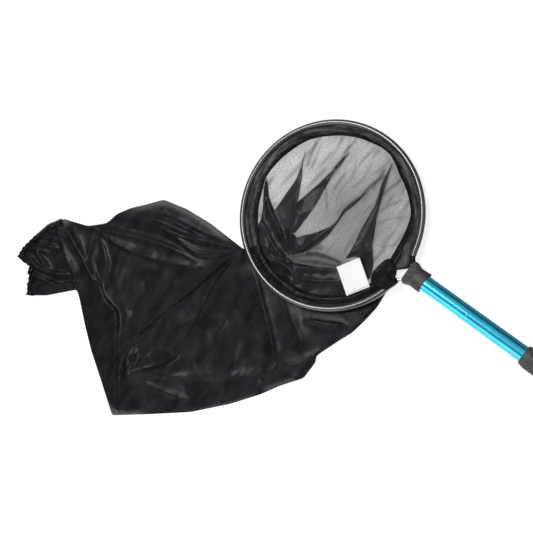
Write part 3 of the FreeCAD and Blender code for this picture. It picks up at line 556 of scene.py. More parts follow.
def triangulate(ring: np.ndarray, guides: list[np.ndarray], pitch: float, fine_within: float,
                coarse: float) -> tuple[np.ndarray, list]:
    """Divides a closed plan into triangles.

    Args:
        ring: the closed edge, kept point for point.
        guides: lines that the triangles' sides must follow.
        pitch: spacing of the inner points.
        fine_within: radius round the hoop's centre beyond which the spacing is coarse.
        coarse: that coarse spacing.

    Returns:
        The points and the triangles, facing up.
    """
    low, high = ring.min(0), ring.max(0)
    inner = []
    for step, near in ((pitch, True), (coarse, False)):
        # Rows this far apart, each shifted by half a step, make nearly equal-sided triangles.
        rows = np.arange(low[1], high[1], step * 0.866)
        for k, y in enumerate(rows):
            x = np.arange(low[0] + (k % 2) * step / 2, high[0], step)
            row = np.stack([x, np.full(len(x), y)], 1)
            inside = np.hypot(*row.T) < fine_within
            inner.append(row[inside if near else ~inside])
    inner = np.concatenate(inner)
    inner = inner[within(inner, ring)]
    fixed = np.concatenate([ring] + guides)
    tree = kdtree.KDTree(len(fixed))
    for i, (x, y) in enumerate(fixed):
        tree.insert((x, y, 0.0), i)
    tree.balance()
    clear, merge = 0.6 * pitch, 0.005  # gap kept to the lines, and points that become one
    inner = np.array([p for p in inner if tree.find((p[0], p[1], 0.0))[2] > clear])
    edges = [(i, (i + 1) % len(ring)) for i in range(len(ring))]
    first = len(ring)
    for guide in guides:
        edges += [(first + i, first + i + 1) for i in range(len(guide) - 1)]
        first += len(guide)
    every = np.concatenate([fixed, inner])
    points, _, faces, *_ = delaunay_2d_cdt([Vector(p) for p in every], edges, [], 1, merge)
    flat = np.array([tuple(p) for p in points])
    up = []
    for a, b, c in faces:
        first_side, second_side = flat[b] - flat[a], flat[c] - flat[a]
        turn = first_side[0] * second_side[1] - first_side[1] * second_side[0]
        up.append((a, b, c) if turn > 0 else (a, c, b))
    return flat, up


def band_faces(rows: int, around: int, flip: bool = False) -> list:
    """Faces between neighbouring rows of points, each row a closed ring.

    Args:
        rows: number of rings.
        around: number of points in each.
        flip: whether the faces are turned over.

    Returns:
        The faces, by point number.
    """
    faces = []
    for k in range(rows - 1):
        for j in range(around):
            a, b = k * around + j, k * around + (j + 1) % around
            face = (a, b, b + around, a + around)
            faces.append(face[::-1] if flip else face)
    return faces


def end_caps(rows: int, around: int) -> list:
    """The two faces that close a band of rings at its first and its last ring."""
    last = (rows - 1) * around
    return [tuple(range(around))[::-1], tuple(range(last, last + around))]


# Finishes, and how each is mixed.


class Nodes:
    """A node tree being built, with short ways to add to it."""

    def __init__(self, tree: bpy.types.NodeTree) -> None:
        """Starts on a tree."""
        self.tree = tree

    def node(self, kind: str, **settings: object) -> bpy.types.Node:
        """Adds a node.

        Args:
            kind: the node's type.
            settings: its settings by name.

        Returns:
            The new node.
        """
        node = self.tree.nodes.new(kind)
        for name, value in settings.items():
            setattr(node, name, value)
        return node

    def wire(self, source: object, target: bpy.types.NodeSocket) -> None:
        """Joins an output, or gives a plain value, to an input.

        Args:
            source: the output or the value.
            target: the input.
        """
        if isinstance(source, bpy.types.NodeSocket):
            self.tree.links.new(source, target)
        else:
            target.default_value = source

    def math(self, operation: str, *values: object) -> bpy.types.NodeSocket:
        """Adds a sum.

        Args:
            operation: the kind of sum.
            values: outputs or plain values that go into it.

        Returns:
            Its result.
        """
        node = self.node("ShaderNodeMath", operation=operation)
        for value, socket in zip(values, node.inputs):
            self.wire(value, socket)
        return node.outputs[0]

    def spread(self, value: object, low: float, high: float, start: float = 0.0,
               end: float = 1.0) -> bpy.types.NodeSocket:
        """Maps a value from one range to another.

        Args:
            value: the output to map.
            low: result at the start.
            high: result at the end.
            start: value that becomes low.
            end: value that becomes high.

        Returns:
            The mapped value, kept between low and high.
        """
        node = self.node("ShaderNodeMapRange")
        self.wire(value, node.inputs["Value"])
        for name, number in (("From Min", start), ("From Max", end), ("To Min", low),
                             ("To Max", high)):
            node.inputs[name].default_value = number
        return node.outputs["Result"]

    def choose(self, value: object, low: object, high: object) -> bpy.types.NodeSocket:
        """Mixes two numbers.

        Args:
            value: 0 for the first, 1 for the second.
            low: the first, an output or a number.
            high: the second.

        Returns:
            The mixed number.
        """
        node = self.node("ShaderNodeMix", data_type="FLOAT")
        for source, socket in ((value, 0), (low, 2), (high, 3)):
            self.wire(source, node.inputs[socket])
        return node.outputs[0]

    def axes(self, direction: bpy.types.NodeSocket) -> bpy.types.bpy_prop_collection:
        """Takes coordinates apart.

        Args:
            direction: the coordinates.

        Returns:
            Outputs named X, Y and Z.
        """
        node = self.node("ShaderNodeSeparateXYZ")
        self.wire(direction, node.inputs[0])
        return node.outputs


class Recipe(Nodes):
    """A material being mixed: its shader and what feeds it."""

    def __init__(self, name: str, colour: tuple, rough: float, metal: float = 0.0) -> None:
        """Starts with a plain surface.

        Args:
            name: the material's name.
            colour: its base colour, linear.
            rough: its roughness.
            metal: 1 for bare metal.
        """
        self.material = bpy.data.materials.new(name)
        self.material.use_nodes = True
        super().__init__(self.material.node_tree)
        self.shader = self.tree.nodes["Principled BSDF"]
        self.set("Base Color", (*colour, 1.0))
        self.set("Roughness", rough)
        self.set("Metallic", metal)
        self.place = self.node("ShaderNodeTexCoord").outputs["Object"]

    def set(self, socket: str, value: object) -> None:
        """Sets a plain value on the shader."""
        self.shader.inputs[socket].default_value = value

    def weave(self) -> bpy.types.NodeSocket:
        """The cloth's own map, in metres before it was folded."""
        return self.node("ShaderNodeUVMap", uv_map="weave").outputs["UV"]

    def gloss(self, weight: float, rough: float) -> None:
        """Lays a clear coat over the surface."""
        self.set("Coat Weight", weight)
        self.set("Coat Roughness", rough)

    def mapped(self, source: object, scale: tuple, turn: float = 0.0) -> bpy.types.NodeSocket:
        """Stretches and turns coordinates.

        Args:
            source: the coordinates.
            scale: factor along each axis.
            turn: turn about Z in radians.

        Returns:
            The new coordinates.
        """
        node = self.node("ShaderNodeMapping")
        node.inputs["Scale"].default_value = scale
        node.inputs["Rotation"].default_value = (0.0, 0.0, turn)
        self.wire(source, node.inputs["Vector"])
        return node.outputs[0]

    def grain(self, scale: float, detail: float = 3.0, source: object = None,
              stretch: tuple | None = None) -> bpy.types.NodeSocket:
        """Adds a noise.

        Args:
            scale: how many grains to a metre.
            detail: how many finer layers it has.
            source: its coordinates, or None for the object's.
            stretch: factor along each axis, or None.

        Returns:
            Its value, 0 to 1.
        """
        node = self.node("ShaderNodeTexNoise")
        node.inputs["Scale"].default_value = scale
        node.inputs["Detail"].default_value = detail
        place = self.place if source is None else source
        self.wire(self.mapped(place, stretch) if stretch else place, node.inputs["Vector"])
        return node.outputs["Fac"]

    def bands(self, pitch: float, source: object, axis: str = "X") -> bpy.types.NodeSocket:
        """Adds a wave along one axis.

        Args:
            pitch: length of one wave in metres.
            source: its coordinates.
            axis: the axis along which it runs.

        Returns:
            Its value, 0 to 1.
        """
        node = self.node("ShaderNodeTexWave", wave_type="BANDS", bands_direction=axis)
        # The wave texture holds twenty radians in one unit at a scale of 1.
        node.inputs["Scale"].default_value = 2.0 * math.pi / (20.0 * pitch)
        self.wire(source, node.inputs["Vector"])
        return node.outputs["Fac"]

    def tint(self, value: object, low: tuple, high: tuple) -> None:
        """Colours the surface by a value.

        Args:
            value: the value, 0 to 1.
            low: colour at 0.
            high: colour at 1.
        """
        node = self.node("ShaderNodeMix", data_type="RGBA")
        self.wire(value, node.inputs["Factor"])
        node.inputs[6].default_value = (*low, 1.0)
        node.inputs[7].default_value = (*high, 1.0)
        self.wire(node.outputs[2], self.shader.inputs["Base Color"])

    def dull(self, value: object, low: float, high: float) -> None:
        """Varies the roughness by a value."""
        self.wire(self.spread(value, low, high), self.shader.inputs["Roughness"])

    def relief(self, value: object, depth: float) -> None:
        """Raises the surface by a value, over what raises it already.

        Args:
            value: the value, 0 to 1.
            depth: height at 1 in metres.
        """
        node = self.node("ShaderNodeBump")
        node.inputs["Strength"].default_value = 1.0
        node.inputs["Distance"].default_value = depth
        self.wire(value, node.inputs["Height"])
        earlier = self.shader.inputs["Normal"]
        if earlier.is_linked:
            self.wire(earlier.links[0].from_socket, node.inputs["Normal"])
        self.wire(node.outputs["Normal"], earlier)


@dataclass(frozen=True)
class Netting:
    """Fine knitted netting, see-through where it is one stretched layer.

    Attributes:
        name: the material's name.
        dark: painted colour of a yarn in shade.
        lit: painted colour of a yarn that lies flat to the light, a painted sheen.
        pitch: spacing of the yarns in metres.
        yarn: share of the spacing that a yarn covers.
        lean: turn of the yarns from the cloth's length in degrees.
        sheen: strength of the satin bloom.
        shine: specular level of the yarn.
        taut: factor on that level inside the hoop, where the cloth is stretched.
    """

    name: str
    dark: tuple = (0.0040, 0.0038, 0.0058)
    lit: tuple = (0.0116, 0.0109, 0.0158)
    pitch: float = 0.0013
    yarn: float = 0.17
    lean: float = 38.0
    sheen: float = 0.02
    shine: float = 0.12
    taut: float = 1.0

    EDGE: ClassVar[float] = 0.06  # how soft a yarn's edge is, as a share of the wave's height
    RIM: ClassVar[tuple] = (0.125, 0.145)  # radii in metres over which the stretch ends

    def make(self) -> bpy.types.Material:
        """Builds the material.

        Returns:
            The new material.
        """
        recipe = Recipe(self.name, self.dark, 0.5)
        cloth = recipe.weave()
        yarns = self.yarns(recipe, cloth)
        # Painted patches of sheen and shade, between the yarn's shaded and lit colours, are drawn out
        # along the sleeve.
        patch = recipe.grain(34.0, 8.0, cloth, (1.7, 0.6, 1.0))
        recipe.tint(recipe.spread(patch, 0.0, 1.0, 0.40, 0.62), self.dark, self.lit)
        recipe.dull(recipe.grain(60.0, 3.0, cloth), 0.20, 0.40)
        recipe.set("Sheen Weight", self.sheen)
        recipe.set("Sheen Roughness", 0.35)
        recipe.set("Sheen Tint", (0.62, 0.58, 0.72, 1.0))
        reach = recipe.node("ShaderNodeVectorMath", operation="LENGTH")
        recipe.wire(cloth, reach.inputs[0])
        shine = recipe.spread(reach.outputs["Value"], self.shine * self.taut, self.shine,
                              *self.RIM)
        recipe.wire(shine, recipe.shader.inputs["Specular IOR Level"])
        recipe.relief(yarns, 0.00003)
        recipe.relief(recipe.grain(130.0, 4.0, cloth), 0.00014)
        return recipe.material

    def yarns(self, recipe: Recipe, cloth: bpy.types.NodeSocket) -> bpy.types.NodeSocket:
        """Lays the crossing yarns and leaves the gaps between them see-through.

        Args:
            recipe: the material being mixed.
            cloth: the cloth's map.

        Returns:
            How high the yarns stand, 0 to 1.
        """
        turned = recipe.mapped(cloth, (1.0, 1.0, 1.0), math.radians(self.lean))
        across = recipe.bands(self.pitch, turned, "X")
        along = recipe.bands(self.pitch, turned, "Y")
        yarns = recipe.math("MAXIMUM", across, along)
        # A wave stands above this level over the share of its length that a yarn covers.
        level = 0.5 + 0.5 * math.cos(math.pi * self.yarn)
        hole = recipe.spread(yarns, 1.0, 0.0, level - self.EDGE, level + self.EDGE)
        opening = recipe.node("ShaderNodeAttribute", attribute_name="open").outputs["Fac"]
        slack = recipe.spread(recipe.grain(420.0, 2.0, cloth), 0.76, 1.16, 0.3, 0.7)
        seen = recipe.math("MULTIPLY", recipe.math("MULTIPLY", opening, slack), hole)
        alpha = recipe.math("SUBTRACT", 1.0, seen)
        recipe.wire(recipe.math("MAXIMUM", alpha, 0.0), recipe.shader.inputs["Alpha"])
        return yarns


@dataclass(frozen=True)
class Moulded:
    """Moulded plastic, rubber or vinyl with a fine surface grain.

    Attributes:
        name: the material's name.
        low: darkest colour.
        high: lightest colour.
        rough: lowest and highest roughness.
        grain: scale of the mottling.
        depth: depth of the surface grain in metres.
        coat: strength of a clear gloss.
        shine: specular level.
        ribs: spacing of fine ribs across the handle in metres, 0 for none. Their grooves get painted
            shade.
    """

    name: str
    low: tuple
    high: tuple
    rough: tuple = (0.45, 0.6)
    grain: float = 300.0
    depth: float = 0.00006
    coat: float = 0.0
    shine: float = 0.5
    ribs: float = 0.0

    def make(self) -> bpy.types.Material:
        """Builds the material.

        Returns:
            The new material.
        """
        recipe = Recipe(self.name, self.low, self.rough[0])
        mottle_and_rib_shade = recipe.spread(recipe.grain(self.grain, 4.0), 0.0, 1.0, 0.3, 0.7)
        if self.ribs:
            rib = recipe.bands(self.ribs, recipe.place, "Y")
            # Painted shade in the ribs' grooves and painted light on their crests, over the relief.
            mottle_and_rib_shade = recipe.math("MULTIPLY", mottle_and_rib_shade, recipe.spread(rib, 0.0, 1.3, 0.0, 0.5))
            recipe.relief(rib, 0.00020)
        recipe.tint(mottle_and_rib_shade, self.low, self.high)
        recipe.dull(recipe.grain(self.grain * 0.4, 3.0), *self.rough)
        recipe.relief(recipe.grain(self.grain * 6.0, 2.0), self.depth)
        recipe.set("Specular IOR Level", self.shine)
        if self.coat:
            recipe.gloss(self.coat, 0.20)
        return recipe.material


@dataclass(frozen=True)
class Metal:
    """Drawn or turned metal with fine lines along its length.

    Attributes:
        name: the material's name.
        low: darkest colour.
        high: lightest colour.
        rough: lowest and highest roughness.
        lines: how much finer the lines are round the piece than along it.
        depth: depth of the lines in metres.
        coat: strength of a clear gloss over the metal.
    """

    name: str
    low: tuple
    high: tuple
    rough: tuple = (0.2, 0.3)
    lines: float = 40.0
    depth: float = 0.000002
    coat: float = 0.0

    def make(self) -> bpy.types.Material:
        """Builds the material.

        Returns:
            The new material.
        """
        recipe = Recipe(self.name, self.low, self.rough[0], 1.0)
        drawn = recipe.grain(12.0, 3.0, None, (1.0, self.lines, self.lines))
        cloudy = recipe.grain(40.0, 3.0)
        recipe.tint(recipe.spread(cloudy, 0.0, 1.0, 0.35, 0.65), self.low, self.high)
        recipe.dull(drawn, *self.rough)
        if self.depth:
            recipe.relief(drawn, self.depth)
        if self.coat:
            recipe.gloss(self.coat, 0.18)
        return recipe.material


@dataclass(frozen=True)
class Woven:
    """Plain woven label cloth.

    Attributes:
        name: the material's name.
        low: colour between the yarns.
        high: colour of the yarns.
        pitch: spacing of the yarns in metres.
    """

    name: str
    low: tuple = (0.80, 0.80, 0.80)
    high: tuple = (0.90, 0.90, 0.89)
    pitch: float = 0.0006

    def make(self) -> bpy.types.Material:
        """Builds the material.

        Returns:
            The new material.
        """
        recipe = Recipe(self.name, self.high, 0.6)
        cloth = recipe.weave()
        weave = recipe.math("MULTIPLY", recipe.bands(self.pitch, cloth, "X"),
                            recipe.bands(self.pitch, cloth, "Y"))
        recipe.tint(weave, self.low, self.high)
        recipe.relief(weave, 0.00008)
        recipe.set("Sheen Weight", 0.15)
        return recipe.material


class Finish(Enum):
    """The finishes of the net, by the record's material slots."""

    STEEL = ("steel_rod", Metal("rod_steel", (0.50, 0.50, 0.50), (0.66, 0.66, 0.66)))
    GUARD = ("guard_vinyl", Moulded("guard_vinyl", (0.008, 0.008, 0.010), (0.016, 0.016, 0.018),
                                    (0.24, 0.27), 120.0, 0.000003, 0.7, 0.85))
    HEM = ("hem_cloth", Netting("hem_netting", (0.0012, 0.0012, 0.0018), (0.006, 0.0055, 0.008)))
    NET = ("net_mesh", Netting("sleeve_netting", taut=1.05))
    THREAD = ("thread", Moulded("sewing_thread", (0.02, 0.02, 0.024), (0.06, 0.06, 0.07),
                                (0.5, 0.7), 900.0))
    LABEL = ("label_cloth", Woven("label_cloth"))
    RUBBER = ("grey_rubber", Moulded("collar_rubber", (0.016, 0.015, 0.018),
                                     (0.078, 0.075, 0.084), (0.42, 0.62), 260.0, 0.00010,
                                     ribs=0.0036))
    NYLON = ("black_nylon", Moulded("black_nylon", (0.012, 0.012, 0.013),
                                    (0.028, 0.028, 0.030), (0.4, 0.55)))
    RIVET = ("rivet_metal", Metal("rivet_aluminium", (0.72, 0.73, 0.74), (0.86, 0.87, 0.88)))
    STUD = ("rivet_metal", Metal("tinted_rivet", (0.10, 0.62, 0.76), (0.16, 0.72, 0.84)))
    TEAL = ("teal_anodised", Metal("teal_anodised", (0.032, 0.49, 0.74), (0.048, 0.56, 0.83),
                                   (0.165, 0.175), depth=0.0, coat=0.6))
    PIN = ("pin_steel", Metal("pin_steel", (0.55, 0.55, 0.56), (0.70, 0.70, 0.71)))
    ACETAL = ("white_acetal", Moulded("white_acetal", (0.70, 0.70, 0.68), (0.80, 0.80, 0.78)))
    PLASTIC = ("grey_plastic", Moulded("grey_plastic", (0.03, 0.03, 0.032),
                                       (0.05, 0.05, 0.053), (0.45, 0.6)))
    GRIP = ("grip_rubber", Moulded("grip_rubber", (0.018, 0.018, 0.019),
                                   (0.040, 0.040, 0.042), (0.6, 0.8), 220.0, 0.00015))

    def __init__(self, slot: str, recipe: Netting | Moulded | Metal | Woven) -> None:
        """Keeps the slot and the recipe of the finish."""
        self.slot = slot
        self.recipe = recipe


class Wardrobe:
    """Makes each finish once and dresses pieces in it."""

    def __init__(self) -> None:
        """Starts with nothing made."""
        self.made: dict[Finish, bpy.types.Material] = {}

    def dress(self, piece: bpy.types.Object, finish: Finish, body: str | None = None) -> None:
        """Gives a piece its finish, and a new piece its body and slot.

        Args:
            piece: a CAD node's object or a new piece.
            finish: which finish.
            body: the body that a new piece rides on. A CAD node has its own.
        """
        if finish not in self.made:
            self.made[finish] = finish.recipe.make()
        if not piece.material_slots:
            piece.data.materials.append(None)
        for slot in piece.material_slots:
            slot.material = self.made[finish]
        if body:
            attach(piece, body)


# The pieces of the net.


@dataclass
class Sleeve:
    """The net's long sleeve: one tube of cloth from the hoop's hem to the gathered tail.

    Attributes:
        pitch: spacing of the points where folds show.
        coarse: spacing where nothing shows.
        fine_radius: radius round the hoop's centre within which the lower layer shows.
        edge_step: spacing of the points along its edge.
        lie: height of the flat cloth over the floor.
        loft: height of the folded sleeve over the floor.
        tail_loft: extra height of the gathered tail.
        roll: width over which the folded edge comes down to the floor.
        rim_lift: height of the edge itself.
        under_lift: height of the lower layer under the folded sleeve.
        step_width: width of the step at the edge of a pleat.
        netting: how open one stretched layer is.
        laid: how open the laid cloth is.
        shut: how open folded cloth still is.
        fold_rise: how much higher than drawn the laid folds stand.
        gather_rise: height of the small pleats at the gathered end.
        fold_limit: height that crossing folds together never reach.
        streaks: direction of the netting's streaks inside the hoop in radians.
    """

    pitch: float = 2.6
    coarse: float = 9.0
    fine_radius: float = 128.0
    edge_step: float = 2.6
    lie: float = 0.5
    loft: float = 4.2
    tail_loft: float = 5.0
    roll: float = 5.0
    rim_lift: float = 0.8
    under_lift: float = 0.15
    step_width: float = 0.9
    netting: float = 0.73
    laid: float = 0.05
    shut: float = 0.006
    fold_rise: float = 2.5
    gather_rise: float = 2.4
    fold_limit: float = 12.0
    streaks: float = 1.46

    SEWN: ClassVar[float] = 1.0  # how far the sleeve is sewn into the hem
    START: ClassVar[float] = 5.0  # how far outside the mouth the laid edge starts
    ON_LINE: ClassVar[float] = 0.1  # nearer than this, a point counts as on a line

    # Outside the hem the cloth passes below the hoop and may rise again beyond it.
    UNDER_HEM: ClassVar[float] = 1.4  # how far it keeps below the hem's middle
    UNDER_HOOP: ClassVar[float] = -6.2  # highest level below the hoop
    HEM_OUTER: ClassVar[float] = 140.0  # outer radius of the hem
    HOOP_OUTER: ClassVar[float] = 153.5  # outer radius of the hoop
    RISE: ClassVar[float] = 0.6  # how steeply it may rise beyond
    RISE_WIDTH: ClassVar[float] = 60.0  # and how far out

    def edge(self) -> np.ndarray:
        """The laid edge, from the mouth on the far side to the mouth on the handle's side."""
        ends = [polar(mouth_radius(b) + self.START, b) for b in (MOUTH_FAR, MOUTH_NEAR)]
        return smooth_line([ends[0]] + LAID_EDGE + [ends[1]], self.edge_step, 3)

    def mouth(self, start: float, sweep: float) -> np.ndarray:
        """Points of the mouth between two bearings, without its ends.

        Args:
            start: the first bearing in degrees.
            sweep: how far round to the second.

        Returns:
            The points, one per row.
        """
        count = int(abs(sweep) / 1.2)
        bearings = [start + sweep * k / count for k in range(1, count)]
        return np.array([polar(mouth_radius(b) + self.SEWN, b) for b in bearings])

    def ceiling(self, points: np.ndarray) -> np.ndarray:
        """Highest level at each point that keeps clear of the hem and the hoop.

        Args:
            points: points of the plan, one per row.

        Returns:
            The levels.
        """
        radius = np.hypot(*points.T)
        under_hem = hem_level(radius) - self.UNDER_HEM
        beyond = np.clip(radius - self.HOOP_OUTER, 0.0, self.RISE_WIDTH)
        free = self.UNDER_HOOP + beyond * self.RISE
        return np.where(radius < self.HEM_OUTER, np.minimum(under_hem, free), free)

    def top_level(self, points: np.ndarray, edge: np.ndarray) -> np.ndarray:
        """Height of the upper layer at each point.

        Args:
            points: points of the plan, one per row.
            edge: the laid edge.

        Returns:
            The levels.
        """
        x, y = points.T
        gap, _, _ = nearest(points, edge)
        round_off = np.sqrt(np.clip(1.0 - (1.0 - np.clip(gap / self.roll, 0, 1)) ** 2, 0, 1))
        tail = ramp(-x, 300.0, 370.0) * ramp(-y, 250.0, 310.0)
        body = self.loft + self.tail_loft * tail
        rumple = 2.0 * ripple(points, 60.0, 3.1, 1.5) + 0.7 * crumple(points, 46.0, 8.2, 1.4)
        rumple = rumple + 1.1 * facets(points, 36.0, 3.0) + 0.42 * facets(points, 14.0, 8.0)
        # The cloth lies calmer where the long folds fan out beside the hoop.
        body = body + rumple * (1.0 - 0.6 * ramp(y, -235.0, -205.0))
        folds = self.fold_rise * sum(crease_height(points, c) for c in SLEEVE_CREASES)
        folds = self.fold_limit * np.tanh((folds + self.gathers(points)) / self.fold_limit)
        height = np.maximum(body - self.rim_lift + folds, 0.6)
        level = FLOOR + self.rim_lift + height * round_off
        return np.minimum(level, self.ceiling(points))

    def gathers(self, points: np.ndarray) -> np.ndarray:
        """Height of the small pleats that run in from the gathered end.

        Args:
            points: points of the plan, one per row.

        Returns:
            The heights.
        """
        step, spacing, reach = 3.0, 9.0, 17.0  # along the line, of the pleats, and how far in
        line = smooth_line(list(TailHem.LINE), step, 2)
        gap, _, share = nearest(points, line)
        travel = share * step * (len(line) - 1)
        wave = np.sin(2 * math.pi * travel / spacing + 2.5 * ripple(points, 30.0, 4.1))
        uneven = 0.7 + 0.6 * ripple(points, 15.0, 6.6)
        return self.gather_rise * wave * np.exp(-gap / reach) * uneven

    def laid_opening(self, points: np.ndarray) -> np.ndarray:
        """How open the laid cloth is: only at some edges is it two plain layers.

        Args:
            points: points of the plan, one per row.

        Returns:
            The openness, 0 to 1.
        """
        taper = 0.2  # share of the line over which the band starts and ends
        opening = np.full(len(points), self.laid)
        for line, width, amount in THIN_EDGES:
            gap, _, share = nearest(points, smooth_line(list(line), 8.0, 4))
            swell = ease(share / taper) * ease((1 - share) / taper)
            opening = np.maximum(opening, amount * swell * (1.0 - ease(gap / width - 0.3)))
        return opening

    def netting_opening(self, points: np.ndarray) -> np.ndarray:
        """How open the single layer inside the hoop is, where nothing is folded.

        Args:
            points: points of the plan, one per row.

        Returns:
            The openness, 0 to 1.
        """
        x, y = points.T
        opening = self.netting + 0.10 * ripple(points, 26.0, 4.4, 2.2)
        for amount, size, seed, stretch in ((0.08, 6.0, 6.4, 5.0), (0.05, 3.6, 2.4, 3.0)):
            opening = opening + amount * ripple(points, size, seed, stretch, self.streaks)
        streak = ease((ripple(points, 8.0, 3.3, 5.0, self.streaks) - 0.15) / 0.35)
        upper = ramp(y, 20.0, 70.0) * ramp(x, -25.0, 25.0) * (1.0 - ramp(x, 50.0, 90.0))
        middle = np.exp(-np.hypot((x - 14.0) / 66.0, (y - 12.0) / 70.0) ** 2)
        beside_handle, far_side = ramp(x, 0.0, 60.0), ramp(-x, 40.0, 80.0)
        for change, where in ((-0.36, streak), (-0.22, upper), (-0.50, middle),
                              (-0.20, beside_handle), (0.14, far_side)):
            opening = opening * (1.0 + change * where)
        return opening

    def tucked(self, points: np.ndarray, lie: np.ndarray, opening: np.ndarray) -> tuple:
        """Adds the thin folds of the single layer, and the place where it lies twice.

        Args:
            points: points of the plan, one per row.
            lie: height of the layer over the floor.
            opening: how open it is.

        Returns:
            The new heights and the new openness.
        """
        taper, least = 0.15, 0.2  # where a tuck fades at its ends, and what is left there
        darker, most = 1.45, 0.8  # factor on a tuck's cover, and the most light that it takes
        for tuck in TUCKS:
            gap, _, share = nearest(points, smooth_line(list(tuck.line), 4.0, 6))
            fade = ease(share / taper + least) * ease((1 - share) / taper + least)
            line = fade * np.exp(-(gap / tuck.width) ** 2)
            lie = lie + tuck.rise * line
            opening = opening * (1.0 - min(most, darker * tuck.cover) * line)
        # How much less open the doubled place is, and the painted shadow round it: how much light it
        # takes and how far out.
        twice, shadow, reach = 0.70, 0.40, 15.0
        doubled = np.array(DOUBLED, float)
        gap, _, _ = nearest(points, doubled, True)
        depth = np.where(within(points, doubled), gap, -gap)
        opening = opening * (1.0 - twice * ramp(depth, -1.2, 0.4))
        opening = opening * (1.0 - shadow * np.exp(-(gap / reach) ** 2))
        return lie, opening

    def pleated(self, points: np.ndarray, rings: list[np.ndarray], lie: np.ndarray,
                opening: np.ndarray) -> tuple:
        """Adds the dark wedges of folded cloth.

        Args:
            points: points of the plan, one per row.
            rings: outlines of the wedges.
            lie: height of the single layer over the floor.
            opening: how open it is.

        Returns:
            The new heights and the new openness.
        """
        touching = 0.05  # a point this near a wedge's outline belongs to it
        shadow, reach = 0.16, 5.0  # light that the netting beside a wedge loses, and how far out
        folded = np.zeros(len(points))
        light = np.zeros(len(points))
        for ring, through in zip(rings, WEDGE_LIGHT):
            gap, _, _ = nearest(points, ring, True)
            inside = within(points, ring) | (gap < touching)
            light = np.where(inside, through, light)
            folded = np.maximum(folded, np.where(inside, 1.0 + 0.4 * ease(gap / 12.0), 0.0))
            near = np.where(inside, 0.0, np.minimum(gap / self.step_width, 1.0))
            # A painted shadow on the netting beside each wedge: less floor shows through it there.
            wedge_shadow = np.where(inside, 1.0, 1.0 - shadow * np.exp(-gap / reach))
            opening = np.minimum(opening, self.shut + (1.0 - self.shut) * near) * wedge_shadow
        # Painted satin streaks: in patches a little more floor shows through the folded cloth.
        thin = np.clip(facets(points, 22.0, 2.0) + 0.5 * ripple(points, 9.0, 3.0, 3.0), 0.0, 1.0)
        opening = np.where(folded > 0, self.shut + light + 0.03 * thin, opening)
        creases = sum(crease_height(points, crease) for crease in INSIDE_CREASES)
        crushed = 0.8 * crumple(points, 26.0, 9.9, 2.6) + 1.4 * facets(points, 24.0, 5.0)
        lie = np.where(folded > 0, self.lie + 1.7 * folded + crushed + 2.2 * creases, lie)
        return lie, opening

    def inside_level(self, points: np.ndarray, rings: list[np.ndarray]) -> tuple:
        """Height and openness of the layer that lies inside the hoop.

        Args:
            points: points of the plan, one per row.
            rings: outlines of the wedges of folded cloth.

        Returns:
            The levels and the openness.
        """
        lie = self.lie + 0.5 * (ripple(points, 30.0, 1.3, 1.4) + 1.0)
        lie = lie + 0.12 * (ripple(points, 12.0, 7.3, 2.4) + 1.0)
        lie, opening = self.tucked(points, lie, self.netting_opening(points))
        lie, opening = self.pleated(points, rings, lie, opening)
        resting = FLOOR + np.maximum(lie, 0.2)

        # Near the hem it climbs to the seam. Where the sleeve leaves the hoop it stays low.
        climb_width, low_width = 9.0, 12.0
        under_seam, under_top = 1.2, 0.6  # how far it keeps below the hem and the upper layer
        radius = np.hypot(*points.T)
        bearing = np.degrees(np.arctan2(points[:, 1], points[:, 0]))
        brim = np.array([mouth_radius(b) for b in bearing]) + self.SEWN
        climb = ease(1.0 - (brim - radius) / climb_width)
        level = resting + (hem_level(brim) - under_seam - resting) * climb
        leaves = (bearing > MOUTH_FAR) & (bearing < MOUTH_NEAR) & (radius > brim - low_width)
        level = np.where(leaves, np.minimum(resting, self.ceiling(points) - under_top), level)
        return level, opening

    def build(self) -> bpy.types.Object:
        """Makes the sleeve: the layer on the floor, the layer over it, joined along the edge.

        Returns:
            The new piece.
        """
        edge = self.edge()
        over = self.mouth(MOUTH_NEAR, MOUTH_FAR - MOUTH_NEAR)
        under = self.mouth(MOUTH_NEAR, 360.0 + MOUTH_FAR - MOUTH_NEAR)
        cloth = Cloth()
        self.upper_layer(cloth, edge, np.concatenate([edge, over]))
        self.lower_layer(cloth, edge, np.concatenate([edge, over]), np.concatenate([edge, under]))
        return cloth.make("sleeve")

    def upper_layer(self, cloth: Cloth, edge: np.ndarray, ring: np.ndarray) -> None:
        """Adds the laid sleeve's upper layer.

        Args:
            cloth: the sleeve under construction.
            edge: the laid edge.
            ring: the layer's closed outline.
        """
        guides = []
        for crease in SLEEVE_CREASES:
            guides += self.inner_parts(smooth_line(list(crease.line), 3.0, 6), ring, False)
        points, faces = triangulate(ring, guides, self.pitch, EVERYWHERE, self.coarse)
        level = self.open_tail(points, self.top_level(points, edge))
        cloth.add(np.column_stack([points, level]), faces, self.laid_opening(points), points)
        log.info("upper layer: %d points", len(points))

    def lower_layer(self, cloth: Cloth, edge: np.ndarray, covered: np.ndarray,
                    ring: np.ndarray) -> None:
        """Adds the layer below it, which goes on inside the hoop as the stretched netting.

        Args:
            cloth: the sleeve under construction.
            edge: the laid edge.
            covered: the outline of the upper layer.
            ring: this layer's closed outline.
        """
        wedges = [smooth_line(list(wedge), 3.0, 2, True) for wedge in WEDGES]
        guides = []
        for wedge in wedges:
            guides += self.inner_parts(wedge, ring)
            guides += self.inner_parts(outset(wedge, self.step_width), ring)
        points, faces = triangulate(ring, guides, self.pitch, self.fine_radius, self.coarse)
        level, opening = self.inside_level(points, wedges)
        gap, _, _ = nearest(points, edge)
        laid = within(points, covered) | (gap < self.ON_LINE)
        lowest = FLOOR + self.under_lift
        level = np.where(laid, lowest, np.maximum(level, lowest))
        level = np.where(gap < self.ON_LINE, FLOOR + self.rim_lift, level)
        opening = np.where(laid, self.laid_opening(points), opening)
        down = [(a, c, b) for a, b, c in faces]
        cloth.add(np.column_stack([points, level]), down, opening, points)
        log.info("lower layer: %d points", len(points))

